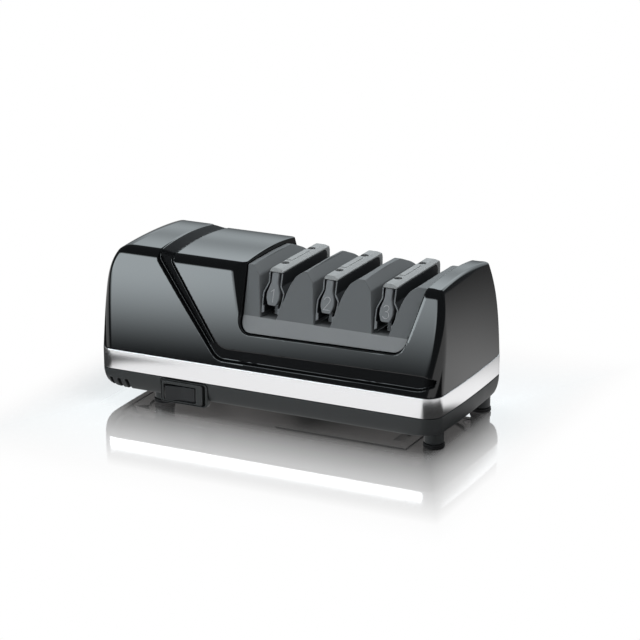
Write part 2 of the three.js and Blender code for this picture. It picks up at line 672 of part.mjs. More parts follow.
function upperHousing() {
  const far = HALF_DEPTH + OVERRUN;
  const form = bodyForm(0);
  const groove = prismY(grooveOutline(), -far, far).subtract(grooveFloor());
  const opening = prismY(openingOutline(0), -far, far);
  const cavity = bodyForm(HOUSING_WALL)
    .add(bodyHollow(BAND_TOP - GAP, HOUSING_WALL))
    .subtract(prismY(openingOutline(OPENING_WALL), -far, far));
  const well = block(
    MODULE_X - MODULE_BODY_HALF - SEAM, MODULE_X + MODULE_BODY_HALF + SEAM,
    -MODULE_DEPTH_HALF - SEAM, MODULE_DEPTH_HALF + SEAM,
    MODULE_BOTTOM - OVERRUN, OPENING_FLOOR_RIGHT + SEAM,
  );
  let shell = form.subtract(groove).subtract(opening).subtract(cavity).subtract(well);
  for (const side of [-1, 1])
    for (const end of [-1, 1]) shell = shell.subtract(openingBevel(side, end));
  for (const [x, y] of screwPlaces()) {
    const post = rodZ(POST_RADIUS, FLOOR_TOP + GAP, POST_TOP, x, y, 12);
    const inner = bodyForm(HOUSING_WALL / 2).add(bodyHollow(FOOT_HEIGHT, HOUSING_WALL));
    shell = shell.add(post.intersect(inner));
    shell = shell.subtract(rodZ(SCREW_SHANK_RADIUS + GAP, 0, FOOT_HEIGHT + 2 * SCREW_LENGTH, x, y, 8));
  }
  return shell;
}

// The space inside the straight lower walls, from a height up to just above the band
function bodyHollow(from, inset) {
  const upTo = BAND_TOP + OVERRUN;
  const ring = (z) =>
    planRing(z, -LENGTH / 2 + inset, LENGTH / 2 - inset, halfDepth(upTo) - inset, CORNER_RADIUS_LOW - inset);
  return loft([ring(from), ring(upTo)]);
}

function screwPlaces() {
  return [
    [SCREW_LEFT_X, -SCREW_Y],
    [SCREW_LEFT_X, SCREW_Y],
    [SCREW_RIGHT_X, -SCREW_Y],
    [SCREW_RIGHT_X, SCREW_Y],
  ];
}

function footPlaces() {
  return [
    ["front_left", FOOT_LEFT_X, -FOOT_Y],
    ["front_right", FOOT_RIGHT_X, -FOOT_Y],
    ["rear_left", FOOT_LEFT_X, FOOT_Y],
    ["rear_right", FOOT_RIGHT_X, FOOT_Y],
  ];
}

function trimBand() {
  const ring = (z, inset) =>
    planRing(z, -LENGTH / 2 + inset, LENGTH / 2 - inset, HALF_DEPTH - inset, CORNER_RADIUS_LOW - inset);
  const low = BAND_BOTTOM + GAP;
  const outer = loft([ring(low, 0), ring(BAND_TOP, 0)]);
  const inner = loft([ring(low - OVERRUN, BAND_THICK), ring(BAND_TOP + OVERRUN, BAND_THICK)]);
  return outer.subtract(inner);
}

const BASE_EDGE_SHARES = [[0, 1, 1], [0.14, 0.52, 0.6], [0.38, 0.2, 0.28], [0.68, 0.06, 0.08], [1, 0, 0]];
const BASE_EDGE_FRONT = 4.2;
const BASE_EDGE_LEFT = 8.5;
const BASE_EDGE_RIGHT = 4.4;

function basePan() {
  const height = BAND_BOTTOM - FOOT_HEIGHT;
  const rings = BASE_EDGE_SHARES.map(([climb, front, end]) =>
    planRing(
      FOOT_HEIGHT + height * climb,
      -LENGTH / 2 + BASE_EDGE_LEFT * end,
      LENGTH / 2 - BASE_EDGE_RIGHT * end,
      HALF_DEPTH - BASE_EDGE_FRONT * front,
      CORNER_RADIUS_LOW,
    ));
  const lipInset = BAND_THICK + GAP;
  const ring = (z, inset) =>
    planRing(z, -LENGTH / 2 + inset, LENGTH / 2 - inset, HALF_DEPTH - inset, CORNER_RADIUS_LOW - inset);
  const lip = loft([ring(BAND_BOTTOM - LAP, lipInset), ring(BAND_TOP, lipInset)]);
  const wellInset = lipInset + BASE_WALL;
  const well = loft([
    planRing(
      FLOOR_TOP, -LENGTH / 2 + BASE_EDGE_LEFT + BASE_WALL, LENGTH / 2 - BASE_EDGE_RIGHT - BASE_WALL,
      HALF_DEPTH - BASE_EDGE_FRONT - BASE_WALL, CORNER_RADIUS_LOW - BASE_WALL,
    ),
    ring(BAND_BOTTOM, wellInset),
    ring(BAND_TOP + OVERRUN, wellInset),
  ]);
  let pan = loft(rings).add(lip).subtract(well);
  for (const [, x, y] of footPlaces())
    pan = pan.add(rodZ(FOOT_RADIUS, PAD_HEIGHT + GAP, FLOOR_TOP, x, y, 16));
  pan = pan.add(endBulkhead());
  for (const side of [-1, 1]) pan = pan.add(motorSaddle(side));
  const collar = LEVER_PIN_RADIUS + BASE_WALL / 2;
  pan = pan.add(rodZ(collar, FLOOR_TOP - LAP, LEVER_TAB_LOW - GAP, leverX(), LEVER_PIVOT_Y, 16));
  pan = pan.subtract(rodZ(LEVER_PIN_RADIUS + GAP, FLOOR_TOP, LEVER_TAB_HIGH, leverX(), LEVER_PIVOT_Y, 16));
  for (const [x, y] of screwPlaces()) {
    pan = pan.subtract(rodZ(SCREW_HEAD_RADIUS + GAP, 0, FOOT_HEIGHT + SCREW_HEAD / 2 + GAP, x, y, 12));
    pan = pan.subtract(rodZ(SCREW_SHANK_RADIUS + GAP, 0, FLOOR_TOP + OVERRUN, x, y, 8));
  }
  pan = pan.subtract(coverOpening());
  pan = pan.subtract(block(
    SWITCH_LEFT - GAP, SWITCH_RIGHT + GAP, -HALF_DEPTH - OVERRUN, -SWITCH_BACK + GAP,
    0, SWITCH_HIGH + GAP,
  ));
  pan = pan.subtract(rodY(GLAND_RADIUS + GAP, HALF_DEPTH / 2, HALF_DEPTH + OVERRUN, GLAND_X, GLAND_Z, 16));
  const window = LEVER_GRIP_HALF + LEVER_SWING + GAP;
  pan = pan.subtract(block(
    leverX() - window, leverX() + window, LEVER_PIVOT_Y + collar, HALF_DEPTH + OVERRUN,
    LEVER_TAB_LOW - LEVER_GRIP_RIM - 2 * GAP, LEVER_TAB_HIGH + LEVER_GRIP_RIM + 2 * GAP,
  ));
  for (let i = 0; i < VENTS; i++) pan = pan.subtract(ventCut(VENT_FIRST_X + i * VENT_PITCH));
  return pan;
}

function ventCut(x) {
  const half = VENT_WIDTH / 2;
  const cut = [
    [x - half + VENT_SLANT / 2, VENT_LOW],
    [x + half + VENT_SLANT / 2, VENT_LOW],
    [x + half - VENT_SLANT / 2, VENT_HIGH],
    [x - half - VENT_SLANT / 2, VENT_HIGH],
  ];
  return prismY(cut, -HALF_DEPTH - OVERRUN, -HALF_DEPTH + BASE_EDGE_FRONT + CORNER_RADIUS_LOW);
}

// The upright wall that carries the shaft's far bearing
function endBulkhead() {
  const low = FLOOR_TOP - LAP;
  const neck = BOSS_RADIUS;
  const wall = prismX(
    [[-BULKHEAD_HALF, low], [BULKHEAD_HALF, low], [neck, SHAFT_Z], [-neck, SHAFT_Z]],
    END_BEARING_X, END_BEARING_X + BRACKET_THICK,
  );
  const boss = rodX(BOSS_RADIUS, END_BEARING_X, END_BEARING_X + BEARING_WIDTH, 0, SHAFT_Z, 20);
  const seat = rodX(BEARING_RADIUS + GAP, 0, LENGTH, 0, SHAFT_Z, 20);
  return wall.add(boss).subtract(seat);
}

// A raised pad on the floor under each motor bracket
function motorSaddle(side) {
  const inner = MOTOR_X + side * BRACKET_SPAN;
  const outer = inner + side * BRACKET_THICK;
  const top = FLOOR_TOP + BASE_WALL;
  return block(
    Math.min(inner, outer) - LAP, Math.max(inner, outer) + LAP, -BRACKET_HALF, BRACKET_HALF,
    FLOOR_TOP - LAP, top,
  );
}

function coverOpening() {
  const through = block(
    MODULE_X - COVER_HALF_X, MODULE_X + COVER_HALF_X, -COVER_HALF_Y, COVER_HALF_Y, 0, FLOOR_TOP + LAP,
  );
  const seat = block(
    MODULE_X - COVER_HALF_X - COVER_LIP, MODULE_X + COVER_HALF_X + COVER_LIP,
    -COVER_HALF_Y - COVER_LIP, COVER_HALF_Y + COVER_LIP, 0, FOOT_HEIGHT + COVER_THICK / 2,
  );
  return through.add(seat);
}

function shavingsCover() {
  const low = FOOT_HEIGHT - COVER_THICK / 2 + GAP;
  const lipX = COVER_HALF_X + COVER_LIP - GAP;
  const lipY = COVER_HALF_Y + COVER_LIP - GAP;
  const lip = block(MODULE_X - lipX, MODULE_X + lipX, -lipY, lipY, low, low + COVER_THICK * 0.75);
  const plug = block(
    MODULE_X - COVER_HALF_X + GAP, MODULE_X + COVER_HALF_X - GAP,
    -COVER_HALF_Y + GAP, COVER_HALF_Y - GAP, low, FLOOR_TOP,
  );
  const pullX = MODULE_X + COVER_HALF_X * COVER_PULL_SHARE;
  const pull = rodY(COVER_THICK * 2, -COVER_HALF_Y / 2, COVER_HALF_Y / 2, pullX, low - COVER_THICK, 16);
  return lip.add(plug).subtract(pull);
}

function shavingsMagnet() {
  const low = FLOOR_TOP + GAP;
  return block(
    MODULE_X - MAGNET_HALF_X, MODULE_X + MAGNET_HALF_X, -MAGNET_HALF_Y, MAGNET_HALF_Y,
    low, low + MAGNET_HEIGHT,
  );
}

function footPad(x, y) {
  const wide = FOOT_RADIUS + PAD_RIM;
  const profile = [
    [0, 0],
    [FOOT_RADIUS - PAD_RIM, 0],
    [wide, PAD_RIM],
    [wide, PAD_HEIGHT / 2],
    [FOOT_RADIUS, PAD_HEIGHT / 2 + PAD_RIM],
    [FOOT_RADIUS, PAD_HEIGHT],
    [0, PAD_HEIGHT],
  ];
  return turnedZ(profile, x, y, 16);
}

function housingScrew(x, y) {
  const low = FOOT_HEIGHT - SCREW_HEAD / 2;
  const head = rodZ(SCREW_HEAD_RADIUS, low, low + SCREW_HEAD, x, y, 12);
  const shank = rodZ(SCREW_SHANK_RADIUS, low + SCREW_HEAD / 2, low + SCREW_LENGTH, x, y, 8);
  const [arm, deep] = [SCREW_HEAD_RADIUS / 2, low + SCREW_HEAD / 3];
  const across = block(x - arm, x + arm, y - GAP, y + GAP, 0, deep);
  const along = block(x - GAP, x + GAP, y - arm, y + arm, 0, deep);
  return head.add(shank).subtract(across).subtract(along);
}

// Guide module

function stageX(stage) {
  return MODULE_X + (stage - (STAGES - 1) / 2) * SLOT_PITCH;
}

// The module's side view in (y, z): ledge, leaning front, crowned ridge, rounded rear
function moduleSide() {
  const rearKnee = (RIDGE_REAR_Z + RIDGE_REAR_SHOULDER_Z) / 2 + RIDGE_CROWN;
  const topKnee = (RIDGE_REAR_SHOULDER_Z + RIDGE_Z + RIDGE_CROWN) / 2 + RIDGE_CROWN;
  const rear = [
    [RIDGE_REAR_HALF, RIDGE_REAR_Z],
    [(RIDGE_REAR_HALF + RIDGE_REAR_SHOULDER) / 2 + GAP, rearKnee],
    [RIDGE_REAR_SHOULDER, RIDGE_REAR_SHOULDER_Z],
    [(RIDGE_REAR_SHOULDER + RIDGE_REAR_FLAT) / 2, topKnee],
    [RIDGE_REAR_FLAT, RIDGE_Z + RIDGE_CROWN / 2],
  ];
  return [
    [-LEDGE_HALF_LOW, OPENING_FLOOR_LEFT - LAP],
    [LEDGE_HALF_LOW, OPENING_FLOOR_LEFT - LAP],
    [LEDGE_HALF_HIGH, LEDGE_Z],
    ...rear,
    [0, RIDGE_Z + RIDGE_CROWN],
    [-RIDGE_REAR_FLAT, RIDGE_Z + RIDGE_CROWN / 2],
    [-RIDGE_HALF, RIDGE_Z],
    [-LEDGE_HALF_HIGH, LEDGE_Z],
  ];
}

function slotOutline(x) {
  const above = PEAK_Z + OVERRUN;
  const half = SLOT_PITCH / 2;
  const edge = half - FIN_HALF_AT_BEVEL;
  const ridge = half - FIN_RIDGE_HALF;
  const out = ridge + (ridge - edge) * ((above - RIDGE_Z) / (RIDGE_Z - FIN_BEVEL_Z));
  const right = [
    [SLOT_HALF, LEDGE_Z],
    [edge, FIN_BEVEL_Z],
    [ridge, RIDGE_Z],
    [Math.min(out, half - GAP), above],
  ];
  const left = right.map(([a, b]) => [-a, b]).reverse();
  return [...right, ...left].map(([a, b]) => [x + a, b]);
}

function guideModule() {
  const far = HALF_DEPTH + OVERRUN;
  const left = MODULE_X - OPENING_HALF_HIGH - OVERRUN;
  const right = MODULE_X + OPENING_HALF_HIGH + OVERRUN;
  const inside = prismY(openingOutline(-SEAM), -far, far);
  let body = prismX(moduleSide(), left, right).intersect(inside);
  body = body.add(block(
    MODULE_X - MODULE_BODY_HALF, MODULE_X + MODULE_BODY_HALF,
    -MODULE_DEPTH_HALF, MODULE_DEPTH_HALF, MODULE_BOTTOM, OPENING_FLOOR_RIGHT + SEAM,
  ));
  for (let stage = 0; stage < STAGES; stage++) {
    const x = stageX(stage);
    body = body.subtract(prismY(slotOutline(x), -far, far));
    body = body.subtract(block(
      x - SLOT_HALF, x + SLOT_HALF, -DECK_OPENING_HALF, DECK_OPENING_HALF, MODULE_BOTTOM, LEDGE_Z + LAP,
    ));
  }
  body = body.subtract(block(
    MODULE_X - MODULE_BODY_HALF + MODULE_WALL, MODULE_X + MODULE_BODY_HALF - MODULE_WALL,
    -MODULE_DEPTH_HALF + MODULE_WALL, MODULE_DEPTH_HALF - MODULE_WALL,
    MODULE_BOTTOM - OVERRUN, LEDGE_Z - DECK,
  ));
  for (let fin = 0; fin + 1 < STAGES; fin++) body = body.subtract(finCore(stageX(fin) + SLOT_PITCH / 2));
  return body;
}

// Each whole fin is hollow from below
function finCore(x) {
  const wide = SLOT_PITCH / 2 - SLOT_HALF - MODULE_WALL;
  const narrow = FIN_HALF_AT_BEVEL - MODULE_WALL;
  const half = RIDGE_HALF - MODULE_WALL;
  const core = [
    [x - wide, LEDGE_Z - DECK - LAP],
    [x + wide, LEDGE_Z - DECK - LAP],
    [x + narrow, FIN_CORE_TOP],
    [x - narrow, FIN_CORE_TOP],
  ];
  return prismY(core, -half, half);
}

// Blade guides

function frontAt(z) {
  const lean = (LEDGE_HALF_HIGH - RIDGE_HALF) / (RIDGE_Z - LEDGE_Z);
  return -(LEDGE_HALF_HIGH - lean * (z - LEDGE_Z)) + GUIDE_SET_BACK;
}

// A guide's side view in (y, z), cut down to a top that lies lower by a drop
function guideSide(drop, rear, foot, forward = 0) {
  const front = frontAt(GUIDE_TOP_FRONT_Z - drop);
  const round = GUIDE_REAR - REAR_HOOK;
  return [
    [frontAt(foot) - forward, foot],
    [rear, foot],
    [rear, GUIDE_TOP_REAR_Z - drop - REAR_HOOK],
    [rear - (GUIDE_REAR - round) / 2, GUIDE_TOP_REAR_Z - drop - REAR_HOOK / 3],
    [rear - (GUIDE_REAR - round), GUIDE_TOP_REAR_Z - drop],
    [front / 3, (2 * GUIDE_TOP_REAR_Z + GUIDE_TOP_FRONT_Z) / 3 - drop],
    [front - forward, GUIDE_TOP_FRONT_Z - drop],
  ];
}

function symmetric(half) {
  return [...half, ...half.map(([a, b]) => [-a, b]).reverse()];
}

function shifted(points, x) {
  return points.map(([a, b]) => [x + a, b]);
}

function guideTower(stage) {
  const x = stageX(stage);
  const half = [
    [TONGUE_HALF, LEDGE_Z + GAP],
    [TONGUE_HALF, BULB_BOTTOM_Z],
    [BULB_HALF - BULB_ROUND, BULB_BOTTOM_Z + BULB_ROUND],
    [BULB_HALF, BULB_WIDE_LOW_Z],
    [BULB_HALF, BULB_WIDE_HIGH_Z],
    [(BULB_HALF + NECK_HALF) / 2, (BULB_WIDE_HIGH_Z + NECK_FOOT_Z) / 2],
    [NECK_HALF, NECK_FOOT_Z],
    [NECK_HALF, PEAK_Z],
  ];
  const rear = GUIDE_REAR - REAR_HOOK - GAP;
  const side = prismX(guideSide(RAIL_UNDER_DROP + GAP, rear, LEDGE_Z), x - LEAF_WIDE_HALF, x + LEAF_WIDE_HALF);
  const far = HALF_DEPTH;
  let tower = prismY(shifted(symmetric(half), x), -far, far).intersect(side);
  for (const which of [0, 1]) {
    const y = railScrewY(which);
    const deep = railTop(y) - RAIL_RECESS - RAIL_SHANK_LENGTH - LAP;
    tower = tower.subtract(rodZ(RAIL_SHANK_RADIUS + GAP, deep, PEAK_Z, x, y, 8));
  }
  return tower;
}

function railScrewY(which) {
  const front = frontAt(GUIDE_TOP_FRONT_Z);
  return front + (GUIDE_REAR - front) * RAIL_SCREW_SHARES[which];
}

function guideRail(stage) {
  const x = stageX(stage);
  const far = HALF_DEPTH;
  const half = [
    [RAIL_HALF, LEDGE_Z],
    [RAIL_HALF, GUIDE_TOP_FRONT_Z - RAIL_SIDE],
    [RAIL_CROWN_HALF, PEAK_Z + OVERRUN],
  ];
  const strip = prismX(guideSide(0, GUIDE_REAR, LEDGE_Z), x - RAIL_HALF, x + RAIL_HALF)
    .subtract(prismX(guideSide(RAIL_UNDER_DROP, GUIDE_REAR - REAR_HOOK, 0, OVERRUN), x - far, x + far))
    .subtract(block(x - far, x + far, -far, far, 0, GUIDE_TOP_REAR_Z - REAR_HOOK_DROP));
  let rail = strip.intersect(railBevel(x)).intersect(prismY(shifted(symmetric(half), x), -far, far));
  for (const which of [0, 1]) {
    const y = railScrewY(which);
    rail = rail.subtract(rodZ(RAIL_SCREW_RADIUS + GAP, railTop(y) - RAIL_RECESS - GAP, PEAK_Z, x, y, 12));
    rail = rail.subtract(rodZ(RAIL_SHANK_RADIUS + GAP, 0, PEAK_Z, x, y, 8));
  }
  return rail;
}

function railTop(y) {
  const front = frontAt(GUIDE_TOP_FRONT_Z);
  const knee = (2 * GUIDE_TOP_REAR_Z + GUIDE_TOP_FRONT_Z) / 3;
  const rear = GUIDE_REAR - REAR_HOOK;
  const climb = (knee - GUIDE_TOP_FRONT_Z) / (front / 3 - front);
  if (y < front / 3) return GUIDE_TOP_FRONT_Z + climb * (y - front);
  return knee + ((GUIDE_TOP_REAR_Z - knee) * (y - front / 3)) / (rear - front / 3);
}

// The rail's bevelled edges follow its rising top
function railBevel(x) {
  const rings = [];
  const front = frontAt(LEDGE_Z);
  for (const y of [GUIDE_REAR + LAP, 0, front]) {
    const top = railTop(Math.max(y, frontAt(GUIDE_TOP_FRONT_Z)));
    rings.push([
      [x - RAIL_HALF, y, 0],
      [x + RAIL_HALF, y, 0],
      [x + RAIL_HALF, y, top - RAIL_SIDE],
      [x + RAIL_CROWN_HALF, y, top + GAP],
      [x - RAIL_CROWN_HALF, y, top + GAP],
      [x - RAIL_HALF, y, top - RAIL_SIDE],
    ]);
  }
  return loft(rings);
}

function railScrew(stage, which) {
  const x = stageX(stage);
  const y = railScrewY(which);
  const seat = railTop(y) - RAIL_RECESS;
  const head = rodZ(RAIL_SCREW_RADIUS, seat, seat + RAIL_SCREW_HEAD, x, y, 12);
  const shank = rodZ(RAIL_SHANK_RADIUS, seat - RAIL_SHANK_LENGTH, seat + RAIL_SCREW_HEAD / 4, x, y, 8);
  const arm = RAIL_SCREW_RADIUS - RAIL_SHANK_RADIUS;
  const cut = block(x - arm, x + arm, y - GAP, y + GAP, seat + RAIL_SCREW_HEAD / 2, PEAK_Z);
  return head.add(shank).subtract(cut);
}

function guideLeaf(stage, side) {
  const x = stageX(stage);
  const top = GUIDE_TOP_FRONT_Z - RAIL_UNDER_DROP - GAP;
  const outer = [
    [LEAF_TOP_HALF, PEAK_Z],
    [LEAF_TOP_HALF, top],
    [LEAF_WAIST_HALF, LEAF_WAIST_Z],
    [(LEAF_WAIST_HALF + LEAF_WIDE_HALF) / 2, (LEAF_WAIST_Z + LEAF_WIDE_Z) / 2 + GAP],
    [LEAF_WIDE_HALF, LEAF_WIDE_Z],
    [LEAF_WIDE_HALF - GAP, (LEAF_WIDE_Z + LEAF_FOOT_Z) / 2 + LAP],
    [LEAF_FOOT_HALF, LEAF_FOOT_Z],
  ];
  const inner = outer.map(([a, b]) => [a - LEAF_THICK, b]).reverse();
  const toe = [
    [LEAF_FOOT_HALF - LEAF_THICK, LEAF_FOOT_Z + LEAF_TOE_HEIGHT / 2],
    [LEAF_FOOT_HALF - LEAF_THICK - LEAF_TOE / 2, LEAF_FOOT_Z],
    [LEAF_FOOT_HALF - LEAF_THICK - LEAF_TOE / 2, LEAF_FOOT_Z - LEAF_TOE_HEIGHT / 2],
    [LEAF_FOOT_HALF - GAP, LEAF_FOOT_Z - LEAF_TOE_HEIGHT / 2],
  ];
  const ring = [...outer, ...toe.slice().reverse(), ...inner.slice(1)];
  const far = HALF_DEPTH;
  const rear = GUIDE_REAR - REAR_HOOK - GAP;
  const profile = shifted(ring.map(([a, b]) => [side * a, b]), x);
  const sideView = prismX(guideSide(RAIL_UNDER_DROP + GAP, rear, LEDGE_Z), x - far, x + far);
  return prismY(profile, -far, far).intersect(sideView);
}

// Shaft, discs and springs

function driveShaft() {
  const profile = [[0, SHAFT_LEFT], [SHAFT_RADIUS, SHAFT_LEFT]];
  for (let stage = 0; stage < STAGES; stage++)
    for (const side of [-1, 1]) {
      const face = DISC_INNER + DISC_HUB + GAP;
      const from = stageX(stage) + (side < 0 ? -face - COLLAR_WIDTH : face);
      profile.push([SHAFT_RADIUS, from], [COLLAR_RADIUS, from]);
      profile.push([COLLAR_RADIUS, from + COLLAR_WIDTH], [SHAFT_RADIUS, from + COLLAR_WIDTH]);
    }
  profile.push([SHAFT_RADIUS, SHAFT_RIGHT], [0, SHAFT_RIGHT]);
  return turnedX(profile, 0, SHAFT_Z, 12);
}

function abrasiveDisc(stage, side) {
  const x = stageX(stage);
  const bore = SHAFT_RADIUS + GAP;
  const section = [
    [bore, DISC_INNER],
    [DISC_RADIUS, DISC_INNER],
    [DISC_RADIUS, DISC_INNER + DISC_RIM],
    [DISC_HUB_RADIUS, DISC_INNER + DISC_HUB - DISC_CHAMFER],
    [DISC_HUB_RADIUS - DISC_CHAMFER, DISC_INNER + DISC_HUB],
    [bore, DISC_INNER + DISC_HUB],
    [bore, DISC_INNER],
  ];
  const placed = section.map(([r, a]) => [r, x + side * a]);
  return turnedX(side < 0 ? placed.reverse() : placed, 0, SHAFT_Z, 24);
}

// A short compression spring between the two discs of a stage
function discSpring(stage) {
  const x = stageX(stage);
  const reach = DISC_INNER - GAP - SPRING_WIRE / 2;
  const steps = SPRING_TURNS * SPRING_STEPS;
  const points = [];
  for (let i = 0; i <= steps; i++) {
    const share = i / steps;
    const angle = share * SPRING_TURNS * 2 * Math.PI;
    points.push(new THREE.Vector3(
      x - reach + 2 * reach * share,
      SPRING_RADIUS * Math.cos(angle),
      SHAFT_Z + SPRING_RADIUS * Math.sin(angle),
    ));
  }
  const wire = [];
  for (let i = 0; i < 5; i++) {
    const angle = (i / 5) * 2 * Math.PI;
    wire.push([(SPRING_WIRE / 2) * Math.cos(angle), (SPRING_WIRE / 2) * Math.sin(angle)]);
  }
  const path = new THREE.CatmullRomCurve3(points);
  return solid(new THREE.ExtrudeGeometry(outline(wire), { steps, extrudePath: path, bevelEnabled: false }));
}

// Motor

function statorCore() {
  const chamfer = STACK_CHAMFER;
  const [hy, hz] = [STACK_HALF_Y, STACK_HALF_Z];
  const frame = [
    [hy - chamfer, -hz], [hy, -hz + chamfer], [hy, hz - chamfer], [hy - chamfer, hz],
    [-hy + chamfer, hz], [-hy, hz - chamfer], [-hy, -hz + chamfer], [-hy + chamfer, -hz],
  ].map(([y, z]) => [y, SHAFT_Z + z]);
  let core = prismX(frame, MOTOR_X - STACK_HALF, MOTOR_X + STACK_HALF);
  core = core.subtract(rodX(BORE_RADIUS, MOTOR_X - LENGTH / 4, MOTOR_X + LENGTH / 4, 0, SHAFT_Z, 24));
  for (const up of [-1, 1])
    for (const side of [-1, 1]) {
      const [near, far] = [COIL_INNER_Y - GAP, COIL_INNER_Y + COIL_SIDE + GAP];
      const [low, high] = [COIL_LOW - GAP, COIL_LOW + COIL_THICK + GAP];
      core = core.subtract(block(
        MOTOR_X - LENGTH / 4, MOTOR_X + LENGTH / 4,
        side < 0 ? -far : near, side < 0 ? -near : far,
        SHAFT_Z + (up < 0 ? -high : low), SHAFT_Z + (up < 0 ? -low : high),
      ));
    }
  return core;
}

function fieldCoil(up) {
  const innerX = STACK_HALF + GAP;
  const outerX = innerX + COIL_OUT;
  const outerY = COIL_INNER_Y + COIL_SIDE;
  const cut = COIL_SIDE / 2;
  const ring = [
    [outerX - cut, -outerY], [outerX, -outerY + cut], [outerX, outerY - cut], [outerX - cut, outerY],
    [-outerX + cut, outerY], [-outerX, outerY - cut], [-outerX, -outerY + cut], [-outerX + cut, -outerY],
  ].map(([x, y]) => [MOTOR_X + x, y]);
  const low = SHAFT_Z + (up < 0 ? -COIL_LOW - COIL_THICK : COIL_LOW);
  const hole = block(
    MOTOR_X - innerX, MOTOR_X + innerX, -COIL_INNER_Y, COIL_INNER_Y, low - LAP, low + COIL_THICK + LAP,
  );
  return prismZ(ring, low, low + COIL_THICK).subtract(hole);
}

function rotorCore() {
  const half = STACK_HALF + ROTOR_OVERHANG;
  const body = rodX(ROTOR_RADIUS, MOTOR_X - half, MOTOR_X + half, 0, SHAFT_Z, 20);
  let rotor = body.add(rodX(
    COMMUTATOR_RADIUS, MOTOR_X + half - LAP, MOTOR_X + half + COMMUTATOR_LENGTH, 0, SHAFT_Z, 16,
  ));
  for (let i = 0; i < ROTOR_SLOTS; i++) {
    const geometry = new THREE.BoxGeometry(LENGTH / 4, ROTOR_SLOT_WIDTH, 2 * ROTOR_SLOT_DEPTH);
    geometry.translate(0, 0, ROTOR_RADIUS);
    geometry.rotateX((i / ROTOR_SLOTS) * 2 * Math.PI);
    rotor = rotor.subtract(solid(geometry.translate(MOTOR_X, 0, SHAFT_Z)));
  }
  return rotor.subtract(rodX(SHAFT_RADIUS + GAP, -LENGTH, LENGTH, 0, SHAFT_Z, 12));
}

function motorBracket(side) {
  const inner = MOTOR_X + side * BRACKET_SPAN;
  const outer = inner + side * BRACKET_THICK;
  const [x0, x1] = [Math.min(inner, outer), Math.max(inner, outer)];
  const low = FLOOR_TOP + BASE_WALL + GAP;
  const top = SHAFT_Z + BRACKET_TOP;
  const plate = prismX([
    [-BRACKET_HALF, low], [BRACKET_HALF, low], [BRACKET_HALF, top - BRACKET_CHAMFER],
    [BRACKET_HALF - BRACKET_CHAMFER, top], [-BRACKET_HALF + BRACKET_CHAMFER, top],
    [-BRACKET_HALF, top - BRACKET_CHAMFER],
  ], x0, x1);
  const bossOut = BEARING_WIDTH - BRACKET_THICK;
  const boss = side < 0
    ? rodX(BOSS_RADIUS, x0 - bossOut, x1, 0, SHAFT_Z, 20)
    : rodX(BOSS_RADIUS, x0, x1 + bossOut, 0, SHAFT_Z, 20);
  const armLength = BRACKET_SPAN - STACK_HALF - GAP;
  let bracket = plate.add(boss);
  for (const end of [-1, 1]) {
    const [a, b] = [inner - side * armLength, inner];
    const y = end * (BRACKET_HALF - BRACKET_ARM_HALF);
    bracket = bracket.add(block(
      Math.min(a, b), Math.max(a, b), y - BRACKET_ARM_HALF, y + BRACKET_ARM_HALF,
      SHAFT_Z - BRACKET_ARM_HALF_Z, SHAFT_Z + BRACKET_ARM_HALF_Z,
    ));
  }
  return bracket.subtract(rodX(BEARING_RADIUS + GAP, -LENGTH, LENGTH, 0, SHAFT_Z, 20));
}

function bearing(x0) {
  const section = [
    [SHAFT_RADIUS + GAP, x0],
    [BEARING_RADIUS, x0],
    [BEARING_RADIUS, x0 + BEARING_WIDTH],
    [SHAFT_RADIUS + GAP, x0 + BEARING_WIDTH],
    [SHAFT_RADIUS + GAP, x0],
  ];
  return turnedX(section, 0, SHAFT_Z, 20);
}

function bearingStart(side) {
  const inner = MOTOR_X + side * BRACKET_SPAN;
  return side < 0 ? inner - BEARING_WIDTH : inner;
}

function coolingFan() {
  const plate = rodX(FAN_RADIUS, FAN_X, FAN_X + FAN_PLATE, 0, SHAFT_Z, 24);
  let fan = plate.add(rodX(FAN_HUB_RADIUS, FAN_X, FAN_X + FAN_WIDTH, 0, SHAFT_Z, 12));
  for (let i = 0; i < FAN_BLADES; i++) {
    const geometry = new THREE.BoxGeometry(FAN_WIDTH, FAN_BLADE_THICK, FAN_BLADE_LENGTH);
    geometry.rotateX(FAN_TWIST);
    geometry.translate(FAN_WIDTH / 2, 0, FAN_BLADE_MIDDLE);
    geometry.rotateX((i / FAN_BLADES) * 2 * Math.PI);
    fan = fan.add(solid(geometry.translate(FAN_X, 0, SHAFT_Z)));
  }
  return fan.subtract(rodX(SHAFT_RADIUS + GAP, -LENGTH, LENGTH, 0, SHAFT_Z, 12));
}

// Switch

function switchBezel() {
  const [low, high] = [ROCKER_LOW - GAP, ROCKER_HIGH + GAP];
  const frame = block(SWITCH_LEFT, SWITCH_RIGHT, -SWITCH_FRONT, -SWITCH_BACK, SWITCH_LOW, SWITCH_HIGH);
  const hollow = block(
    SWITCH_LEFT + SWITCH_WALL, SWITCH_RIGHT - SWITCH_WALL,
    -SWITCH_FRONT + SWITCH_WALL, -SWITCH_BACK - SWITCH_WALL, low, high,
  );
  const window = block(
    ROCKER_LEFT - GAP, ROCKER_RIGHT + GAP, -REACH - LAP, -SWITCH_FRONT + 2 * SWITCH_WALL, low, high,
  );
  return frame.subtract(hollow).subtract(window);
}

// The rocker turns about an upright pivot, set so that its raised edge stands at the part's reach
function rockerHalf() {
  return (ROCKER_RIGHT - ROCKER_LEFT) / 2 - 2 * GAP;
}

function rockerPivot() {
  const edge = rockerHalf() * Math.sin(ROCKER_TILT) + ROCKER_DEPTH * Math.cos(ROCKER_TILT);
  return [(ROCKER_LEFT + ROCKER_RIGHT) / 2, edge - REACH];
}

